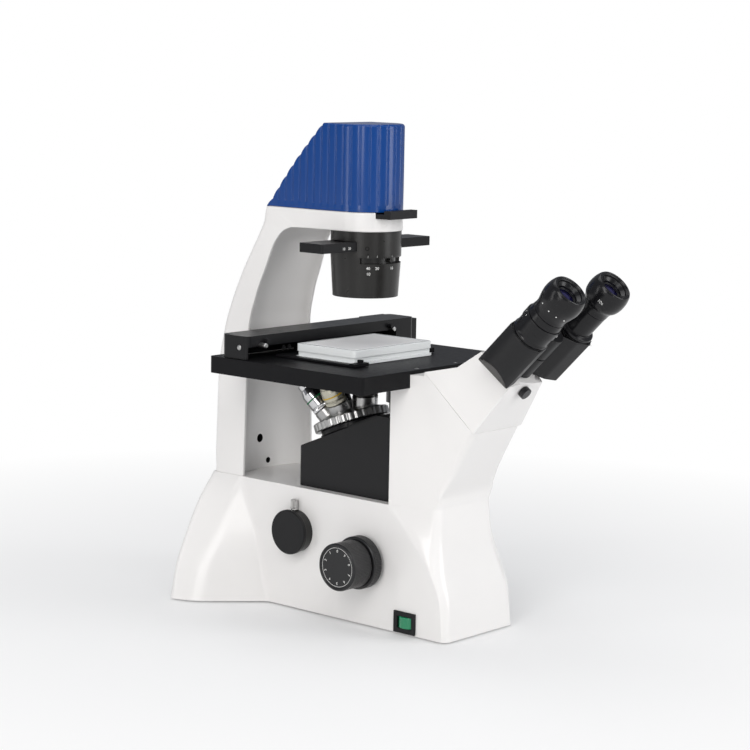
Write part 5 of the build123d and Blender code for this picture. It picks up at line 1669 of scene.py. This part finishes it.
@dataclass(frozen=True)
class FocusUnit:
    """Black housing over the focus carriage, the turret on it and the objectives."""

    turret_t: float = 38.0
    turret_r: float = 42.5
    rim: float = 10.0

    def build(self) -> None:
        """Make the turret and its objectives, and finish the rest."""
        refined("focus_housing", MOULDED, 1.0, segments=3)
        paint("focus_guide", STEEL)
        refined("focus_carriage", BLACK_ENAMEL, 0.5)
        paint("focus_rack", BRASS)
        self.turret()
        shapes = (("objective_10x", 0, 30.0, 8.0, 4.6, TURNED_BLACK, YELLOW_BAND),
                  ("objective_phase_10x", 1, 30.5, 8.0, 4.6, TURNED_BLACK, GREEN_BAND),
                  ("objective_20x", 2, 35.0, 8.6, 4.2, TURNED_BLACK, BLUE_BAND),
                  ("objective_40x", 3, 36.0, 9.0, 3.6, CHROME, GREEN_BAND),
                  ("objective_4x", 4, 24.0, 10.5, 6.2, IVORY, YELLOW_BAND))
        for node, number, length, tip, lens, shell, band in shapes:
            Objective(node, number, length, tip, lens, shell, band).build()

    def turret(self) -> None:
        """Turned disc with a wide knurl, and the five bosses on it."""
        low, high, wide = self.turret_t, self.turret_t + self.rim, self.turret_r
        crown = low + 15.0
        profile = softened([(6.2, low + 0.2), (wide - 1.0, low), (wide, low + 1.0), (wide, high - 1.2),
                            (wide - 1.4, high), (wide - 3.0, high), (26.0, crown), (0, crown)], 0.6, 4)
        knurl = flutes(30, 1.0, low + 0.8, high - 0.8, 0.8, 0.4)
        skin = Skin().turn(filled(profile, 1.6), TURRET, 360, knurl)
        under = turned(np.array([(6.2, low + 0.2), (6.2, low + 8.0), (0, low + 8.0)]), TURRET, 360)
        skin.grid(under)
        for number in range(5):
            axes = objective_axes(number, 0.0)
            boss = softened([(0, 67.9), (11.6, 67.9), (12.3, 67.2), (12.3, high - 2.0), (0, high - 2.0)],
                            0.4, 3)
            skin.turn(boss, axes, 72)
        skin.piece("silver_turret", body_of("nosepiece_turret"), SATIN, ["nosepiece_turret"])


# Focus drive, port and power pieces


def around(axes: Axes, angle: float, radius: float, height: float) -> tuple[Axes, Array]:
    """Place on a circle round an axis, and the direction outward there: cos a across + sin a beside.

    Args:
        axes: The circle's axes.
        angle: Angle from the zero direction.
        radius: Radius of the circle.
        height: Its height along the axis.

    Returns:
        Axes moved to the place, and the outward direction.
    """
    c, s = math.cos(angle), math.sin(angle)
    out = axes.at(np.array(c), np.array(s), np.array(0.0)) - np.asarray(axes.origin)
    return axes.moved(radius * c, radius * s, height), out


@dataclass(frozen=True)
class FocusDrive:
    """Coaxial coarse and fine knobs on both sides, with plain numbers on the fine knob's face."""

    y: float = -59.0
    z: float = 72.0

    def build(self) -> None:
        """Turn the knobs and print the scale."""
        paint("coarse_shaft", STEEL)
        refined("tension_ring", KNOB, 0.4)
        for name, side in (("left", -1.0), ("right", 1.0)):
            axes = Axes((0, self.y, self.z), (side, 0, 0), (0, 0, 1))
            self.coarse(name, axes)
            self.fine(name, axes)

    def coarse(self, name: str, axes: Axes) -> None:
        """Coarse knob: a wide turned ring with fine flutes on its rim."""
        node = f"coarse_knob_{name}"
        profile = softened([(5.1, 64.0), (27.4, 64.0), (28.5, 65.1), (28.5, 74.8), (27.3, 76.0), (5.1, 76.0),
                            (5.1, 64.0)], 0.7, 4)
        Skin().turn(filled(profile, 1.2), axes, 288, flutes(96, 0.45, 65.2, 74.7, 0.6, 0.0)).piece(
            f"{node}_grip", body_of(node), KNOB, [node])

    def fine(self, name: str, axes: Axes) -> None:
        """Fine knob: a grip with a recessed face, a printed circle, marks and numbers."""
        node = f"fine_knob_{name}"
        body = body_of(node)
        profile = softened([(0, 77.0), (24.6, 77.0), (25.5, 77.9), (25.5, 103.7), (24.4, 105.0),
                            (22.8, 105.0), (22.3, 103.8), (0, 103.8)], 0.6, 4)
        Skin().turn(filled(profile, 1.2), axes, 288, flutes(96, 0.35, 78.4, 103.0, 0.8, 0.0)).piece(
            f"{node}_grip", body, KNOB, [node])
        ring = softened([(20.6, 103.82), (20.6, 103.9), (20.95, 103.9), (20.95, 103.82), (20.6, 103.82)],
                        0.01, 1)
        Skin().turn(ring, axes, 96).piece(f"{node}_circle", body, PRINT)
        for mark in range(10):
            place, up = around(axes, 2 * math.pi * mark / 10, 17.3, 103.84)
            reading = Axes(place.origin, axes.along, tuple(np.cross(up, unit(axes.along))))
            printed(str(mark), 4.2, reading, f"{node}_number_{mark}", body)


@dataclass(frozen=True)
class Port:
    """Camera port on the left wall, with its cap and thumbscrew."""

    def build(self) -> None:
        """Turn the collar, the cap and the screw."""
        out = Axes((0, 42, 89), (-1, 0, 0), (0, 1, 0))
        refined("port_collar", TURNED_BLACK, 0.5)
        profile = softened([(0, 60.0), (15.9, 60.0), (15.9, 68.3), (24.0, 68.3), (24.5, 68.9), (24.5, 72.7),
                            (23.7, 73.6), (0, 73.6)], 0.5, 4)
        Skin().turn(profile, out, 128).piece("port_cap_disc", body_of("port_cap"), MOULDED, ["port_cap"])
        up = Axes((-63.0, 42.0, 0), (0, 0, 1), (1, 0, 0))
        profile = softened([(0, 107.5), (1.8, 107.5), (1.8, 112.3), (3.2, 112.3), (4.0, 113.0), (4.0, 123.2),
                            (3.2, 124.3), (0, 124.3)], 0.4, 3)
        Skin().turn(filled(profile, 0.6), up, 144, flutes(24, 0.35, 113.2, 123.0, 0.4, 0.0)).piece(
            "port_thumbscrew", body_of("port_screw"), STEEL, ["port_screw"])


@dataclass(frozen=True)
class Power:
    """Switch, brightness dial, mains inlet and board."""

    def build(self) -> None:
        """Finish the pieces and turn the dial's grip."""
        refined("switch_bezel", MOULDED, 0.5)
        refined("power_rocker", ROCKER, 0.5, segments=3)
        refined("power_inlet", MOULDED, 0.4)
        paint("power_board", BOARD)
        paint("relay_mirror", MIRROR)
        paint("mirror_holder", BLACK_ENAMEL)
        axes = Axes((0, -112, 62), (1, 0, 0), (0, 0, 1))
        profile = softened([(0, 58.3), (13.2, 58.3), (14.0, 59.2), (14.0, 72.6), (12.8, 74.0), (0, 74.0)],
                           0.7, 4)
        Skin().turn(filled(profile, 1.2), axes, 192, flutes(48, 0.4, 59.6, 72.4, 0.8, 0.0)).piece(
            "dial_grip", body_of("brightness_dial"), KNOB, ["brightness_dial"])


# Binocular head


HEAD = Axes((0.0, -165.25, 243.25), (0.0, -HALF_ROOT, HALF_ROOT), (1.0, 0.0, 0.0))


def head_axes(across: float = 0.0, along: float = 0.0) -> Axes:
    """Axes of the head, moved across and along. Its beside direction points up and back."""
    return HEAD.moved(across, 0.0, along)


@dataclass(frozen=True)
class Head:
    """White mount, two prism housings on their hinge, tubes, diopter ring, eyepieces and lock knob."""

    start: float = 66.5
    split: float = 95.0
    end: float = 124.5
    spacing: float = 37.5
    fold: float = math.radians(15)
    half: float = 21.0
    arc_r: float = 24.6
    arc_in: float = 3.3
    mitre: float = 15.1
    knuckle_r: float = 14.0
    room: float = 0.7
    post_r: float = 7.3

    def build(self) -> None:
        """Build each piece of the head."""
        refined("head_mount", WHITE, 1.6, segments=4, sharp=24)
        paint("tube_lens", GLASS)
        for name, side, tube, waist in (("left", -1.0, 19.7, 18.3), ("right", 1.0, 16.2, 16.6)):
            self.housing(name, side)
            self.tube(name, side * self.spacing, tube)
            self.eyepiece(name, side * self.spacing, waist)
        refined("diopter_ring", TUBE_BLACK, 0.3)
        refined("head_lock_knob", KNOB, 0.6)
        self.dots()

    def spot(self, side: float, outward: Array, upward: Array) -> Array:
        """Points (across, up) from a housing's own folded directions: its centre + outward * u + upward * v,
        where u is turned down from the across direction by the fold and v is square to it.

        Args:
            side: -1 or 1.
            outward: Distances away from the hinge.
            upward: Distances square to them.

        Returns:
            Array with the two coordinates last.
        """
        u = np.array([side * math.cos(self.fold), -math.sin(self.fold)])
        v = np.array([side * math.sin(self.fold), math.cos(self.fold)])
        outward, upward = np.broadcast_arrays(np.asarray(outward, float), np.asarray(upward, float))
        return np.array([side * self.spacing, 0.0]) + outward[..., None] * u + upward[..., None] * v

    def bulge(self, upward: Array) -> Array:
        """Outer wall's distance outward: -arc_in + sqrt(arc_r^2 - upward^2)."""
        return -self.arc_in + np.sqrt(self.arc_r ** 2 - np.asarray(upward, float) ** 2)

    def housing(self, name: str, side: float) -> None:
        """Prism housing: a bowed outer wall and flat top, cut to a vee under its hinge and at a slant at its
        lower outer edge, where an oval cap closes it. Its knuckle runs round the hinge post.

        Args:
            name: Left or right.
            side: -1 or 1.
        """
        node = f"{name}_prism_housing"
        body = body_of(node)
        limit = math.asin(self.half / self.arc_r)
        turn = np.linspace(-limit, limit, 25)
        wall = self.spot(side, -self.arc_in + self.arc_r * np.cos(turn), self.arc_r * np.sin(turn))
        rest = np.array([(side * 36.5, 22.0), (side * 1.6, 22.0), (side * 1.6, -1.6), (side * 25.0, -18.4)])
        reach = [1.2] + [0.0] * 23 + [1.2, 3.0, 0.8, 0.8, 2.5]
        outline = softened(np.vstack([wall, rest]), reach, 4, closed=True)
        outline = outline if side > 0 else outline[::-1]
        piece = Skin().prism(outline, self.start, self.end, HEAD, edge=1.1, steps=4).piece(
            f"{name}_housing_shell", body, HEAD_BLACK, [node], sharp=30)
        face = self.slant_face(side)
        slant = Skin().prism(box_outline(-40, 40, -40, 40, 0.5), 0.0, 40.0, face, edge=0.1)
        past = 3.0
        if side < 0:
            low, high = self.start + 0.2, self.split - self.room
            other = (self.split - 2 * self.room, self.end + past)
        else:
            low, high = self.split + self.room, self.end
            other = (self.start - past, self.split + 2 * self.room)
        tools = [slant, pin(self.knuckle_r + self.room, *other, HEAD),
                 pin(self.post_r, self.start - past, self.end + past, HEAD)]
        carve(piece, tools, f"{name}_housing_cut")
        knuckle = softened([(self.post_r, low), (self.knuckle_r, low), (self.knuckle_r, high),
                            (self.post_r, high), (self.post_r, low)], [0, 1.0, 1.0, 0, 0], 4)
        Skin().turn(knuckle, HEAD, 96).piece(f"{name}_knuckle", body, HEAD_BLACK)
        self.cap(name, body, face)

    def slant_face(self, side: float) -> Axes:
        """Axes of the slanted cut at a housing's lower outer edge. It points out of the housing, and its
        zero direction runs up along the edge.

        Args:
            side: -1 or 1.

        Returns:
            The axes.
        """
        up = np.cross(unit(HEAD.along), HEAD.zero)
        across = side * np.asarray(HEAD.zero)
        out = across * math.cos(self.fold) - up * math.sin(self.fold)
        upright = across * math.sin(self.fold) + up * math.cos(self.fold)
        away = unit(out * self.mitre - unit(HEAD.along) * self.depth())
        middle = self.spot(side, self.bulge(self.half), 0.0)
        origin = HEAD.at(middle[0], middle[1], np.array(self.start))
        return Axes(tuple(origin), tuple(away), tuple(upright))

    def depth(self) -> float:
        """How far the outer wall bows out between its corners."""
        return float(self.bulge(0.0) - self.bulge(self.half))

    def cap(self, name: str, body: str, face: Axes) -> None:
        """Oval cap on the slanted cut. Its arched side is the wall's bow, drawn out along the slant.

        Args:
            name: Left or right.
            body: Body that it rides on.
            face: Axes of the cut.
        """
        margin = 0.9
        along = (self.half - margin) * np.cos(np.linspace(0, math.pi, 33))
        slope = math.hypot(self.mitre, self.depth()) / self.depth()
        inward = (self.bulge(along) - self.bulge(self.half)) * slope
        corner = self.half - 3
        oval = np.vstack([np.stack([along, inward - margin], 1), [(-corner, 0.7), (corner, 0.7)]])
        if float(np.dot(np.cross(face.along, face.zero), HEAD.along)) < 0:
            oval = (oval * (1, -1))[::-1]
        Skin().prism(softened(oval, 0.6, 3, closed=True), -0.5, 0.5, face, edge=0.3).piece(
            f"{name}_housing_cap", body, CAP_GREY)

    def tube(self, name: str, across: float, radius: float) -> None:
        """Tube that the eyepiece slides in, with a rounded bead and a groove where it meets its housing.

        Args:
            name: Left or right.
            across: Its place across.
            radius: Its outer radius.
        """
        neck = [(radius, 130.2), (radius, 157.6)]
        if name == "left":
            # The diopter ring turns in the groove
            neck = [(radius, 130.2), (radius, 139.7), (17.2, 139.7), (17.2, 150.3), (radius - 0.2, 150.3),
                    (radius - 1.2, 157.8)]
        profile = softened([(15.1, 123.5), (20.2, 123.5), (20.2, 125.0), (18.9, 125.3), (18.9, 125.9),
                            (20.4, 126.3), (20.6, 127.6), (20.0, 129.0), *neck, (15.1, 158.0), (15.1, 123.5)],
                           0.35, 4)
        Skin().turn(filled(profile, 3.0), head_axes(across), 128).piece(
            f"{name}_tube", body_of(f"{name}_prism_housing"), TUBE_BLACK)

    def dots(self) -> None:
        """White index dots round the left eyepiece, a stroke and a zero on the diopter ring and a plain
        power mark on the right eyepiece."""
        left, right = head_axes(-self.spacing), head_axes(self.spacing)
        dot = np.array([(0, 0.22), (0.5, 0.2), (0.62, 0.0), (0.62, -0.5), (0, -0.5)])
        for number, turn in enumerate((168, 197, 223, 250)):
            spot, out = around(left, math.radians(turn), 21.02, 171.4)
            Skin().turn(dot, Axes(spot.origin, tuple(out), HEAD.along), 20).piece(
                f"eyepiece_dot_{number}", body_of("left_eyepiece"), PRINT)
        marks = ((left, 138, 20.62, 147.6, "I", 3.4, "diopter_ring"),
                 (left, 152, 20.62, 146.4, "0", 2.6, "diopter_ring"),
                 (right, 204, 21.86, 180.0, "10x", 4.6, "right_eyepiece"))
        for axes, turn, radius, height, text, size, node in marks:
            spot, out = around(axes, math.radians(turn), radius, height)
            reading = np.cross(unit(HEAD.along), out)
            place = Axes(spot.origin, tuple(out), tuple(reading))
            printed(text, size, place, f"{node}_mark_{turn}", body_of(node))

    def eyepiece(self, name: str, across: float, waist: float) -> None:
        """Eyepiece: a grip that swells towards its eye end, a stepped cup and a bright eye lens.

        Args:
            name: Left or right.
            across: Its place across.
            waist: Radius of its lower end.
        """
        axes = head_axes(across)
        node = f"{name}_eyepiece"
        body = body_of(node)
        profile = softened([(12.0, 132.0), (15.0, 132.0), (15.0, 158.3), (waist, 158.3), (waist, 162.5),
                            (waist + 0.9, 166.6), (20.6, 171.6), (21.7, 177.0), (21.8, 181.5), (21.3, 186.6),
                            (19.8, 191.6), (18.4, 193.6), (17.3, 194.0), (16.5, 193.6), (15.9, 192.4),
                            (15.0, 192.2), (14.6, 190.4), (11.4, 187.6), (10.9, 185.4), (9.0, 185.0),
                            (9.0, 184.4), (12.95, 184.4), (12.95, 178.0), (12.0, 178.0), (12.0, 132.0)],
                           [0, 0.3, 0.3, 0.4, 1.5, 2, 2, 2, 2, 2, 1.4, 0.5, 0.35, 0.3, 0.3, 0.4, 0.4, 0.3,
                            0.2, 0.1, 0.1, 0.1, 0.1, 0, 0], 5)
        Skin().turn(filled(profile, 2.0), axes, 144).piece(f"{node}_body", body, TUBE_BLACK, [node])
        lens = softened([(0, 186.6), (4.5, 186.1), (8.9, 184.2), (12.85, 184.0), (12.85, 178.1), (0, 178.1)],
                        1.0, 6)
        Skin().turn(lens, axes, 96).piece(f"{name}_lens_glass", body_of(f"{name}_eye_lens"), GLASS,
                                         [f"{name}_eye_lens"])


# Studio and main


@dataclass(frozen=True)
class Studio:
    """Pale floor, soft lights and the camera at the photograph's view."""

    azimuth: float = -48.83
    elevation: float = 8.37
    roll: float = 1.03
    place: Point = (-1.81035, -1.59938, 0.61498)
    lens: float = 107.66
    near_white: float = 0.55

    def build(self) -> None:
        """Set up the camera, floor, world and lights."""
        self.camera()
        self.floor()
        self.world()
        white = (1.0, 1.0, 1.0)
        self.light("left_sliver", (-2.45, 1.03, 0.95), (0.42, 1.7), 8.0, (1.0, 0.99, 0.97))
        self.light("front_sliver", (-0.78, -2.6, 0.95), (0.3, 1.7), 5.0, (1.0, 0.99, 0.98))
        self.light("left_strip", (-2.35, -0.9, 1.25), (0.95, 2.0), 30.0, (1.0, 0.98, 0.96))
        self.light("front_strip", (1.15, -2.35, 1.15), (1.1, 2.0), 30.0, white)
        self.light("camera_side", (-1.5, -1.9, 2.4), (1.6, 1.0), 14.0, white)
        self.light("top", (0.2, 0.5, 2.9), (2.2, 2.2), 28.0, white)
        bpy.context.scene.view_settings.view_transform = "Standard"

    def camera(self) -> None:
        """Camera from its azimuth, elevation and roll: back = (sin a cos e, -cos a cos e, sin e), right =
        (cos a, sin a, 0), up = back x right, and both turned by the roll."""
        a, e, r = (math.radians(value) for value in (self.azimuth, self.elevation, self.roll))
        back = Vector((math.sin(a) * math.cos(e), -math.cos(a) * math.cos(e), math.sin(e)))
        right = Vector((math.cos(a), math.sin(a), 0))
        up = back.cross(right)
        turned_right = right * math.cos(r) + up * math.sin(r)
        turned_up = up * math.cos(r) - right * math.sin(r)
        data = bpy.data.cameras.new("camera")
        data.lens = self.lens
        data.sensor_width = 36.0
        made = bpy.data.objects.new("camera", data)
        matrix = Matrix((turned_right, turned_up, back)).transposed().to_4x4()
        matrix.translation = Vector(self.place)
        made.matrix_world = matrix
        bpy.context.scene.collection.objects.link(made)
        bpy.context.scene.camera = made

    def floor(self) -> None:
        """Pale floor that keeps the object's shadow near it and turns plain white further out. The white
        share grows with the distance r from the middle as near_white + 0.9 * (r - 0.5 m), held between zero
        and one, and only camera, glossy and transmitted rays see it."""
        x, y = np.meshgrid(np.linspace(-6000, 6000, 5), np.linspace(-6000, 6000, 5))
        skin = Skin().grid(np.stack([x, y, np.full_like(x, -0.05)], axis=-1), wrap=False)
        mesh = bpy.data.meshes.new("floor")
        mesh.from_pydata((np.vstack(skin.points) * MM).tolist(), [], skin.faces)
        made = bpy.data.objects.new("floor", mesh)
        bpy.context.scene.collection.objects.link(made)
        material = bpy.data.materials.new("floor_white")
        material.use_nodes = True
        graph = Graph(material.node_tree)
        pale = graph.blend(graph.noise(2.0), (0.84, 0.84, 0.84), (0.86, 0.86, 0.86))
        shader = graph.node("ShaderNodeBsdfPrincipled", {}, {"Base Color": pale, "Roughness": 0.6,
                                                             "Specular IOR Level": 0.1})
        plain = graph.node("ShaderNodeEmission", {}, {"Color": (1, 1, 1, 1), "Strength": 1.0})
        rays = graph.node("ShaderNodeLightPath")
        seen = (Signal(graph, rays.outputs["Is Camera Ray"]) + Signal(graph, rays.outputs["Is Glossy Ray"])
                + Signal(graph, rays.outputs["Is Transmission Ray"])).clipped()
        far = graph.node("ShaderNodeVectorMath", {"operation": "LENGTH"}, {0: graph.here})
        share = ((Signal(graph, far.outputs["Value"]) - 0.5) * 0.9 + self.near_white).clipped()
        mixed = graph.node("ShaderNodeMixShader", {}, {0: seen * share, 1: shader.outputs[0],
                                                      2: plain.outputs[0]})
        graph.node("ShaderNodeOutputMaterial", {}, {"Surface": mixed.outputs[0]})
        mesh.materials.append(material)

    def world(self) -> None:
        """White background to the camera; every other ray, reflections too, sees a softer, slightly blue one,
        which also gives the light.
        """
        world = bpy.data.worlds.new("studio")
        world.use_nodes = True
        bpy.context.scene.world = world
        graph = Graph(world.node_tree)
        seen = graph.node("ShaderNodeLightPath").outputs["Is Camera Ray"]
        dim = graph.node("ShaderNodeBackground", {}, {"Color": (0.9, 0.93, 1.0, 1), "Strength": 0.3})
        plain = graph.node("ShaderNodeBackground", {}, {"Color": (1, 1, 1, 1), "Strength": 1.0})
        mix = graph.node("ShaderNodeMixShader", {}, {0: seen, 1: dim.outputs[0], 2: plain.outputs[0]})
        graph.node("ShaderNodeOutputWorld", {}, {"Surface": mix.outputs[0]})

    def light(self, name: str, place: Point, size: tuple[float, float], power: float, colour: Rgb) -> None:
        """Soft lamp aimed at the object's middle.

        Args:
            name: Name of the lamp.
            place: Where it stands, in metres.
            size: Width and height of its face, in metres.
            power: Its power in watts.
            colour: Its colour.
        """
        data = bpy.data.lights.new(name, "AREA")
        data.shape = "RECTANGLE"
        data.size, data.size_y = size
        data.energy = power
        data.color = colour
        made = bpy.data.objects.new(name, data)
        made.location = place
        made.rotation_euler = (Vector((0, 0, 0.25)) - Vector(place)).to_track_quat("-Z", "Y").to_euler()
        bpy.context.scene.collection.objects.link(made)


def main() -> None:
    """Build the studio and every sub-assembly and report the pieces."""
    logging.basicConfig(level=logging.INFO, format="%(name)s: %(message)s")
    parts = (Studio(), BaseCasting(), Underside(), RearArm(), LampCover(), Lamp(), Condenser(), Stage(),
             WellPlate(), FocusUnit(), FocusDrive(), Port(), Power(), Head())
    for part in parts:
        part.build()
        log.info("%s built", type(part).__name__)


if __name__ == "__main__":
    main()
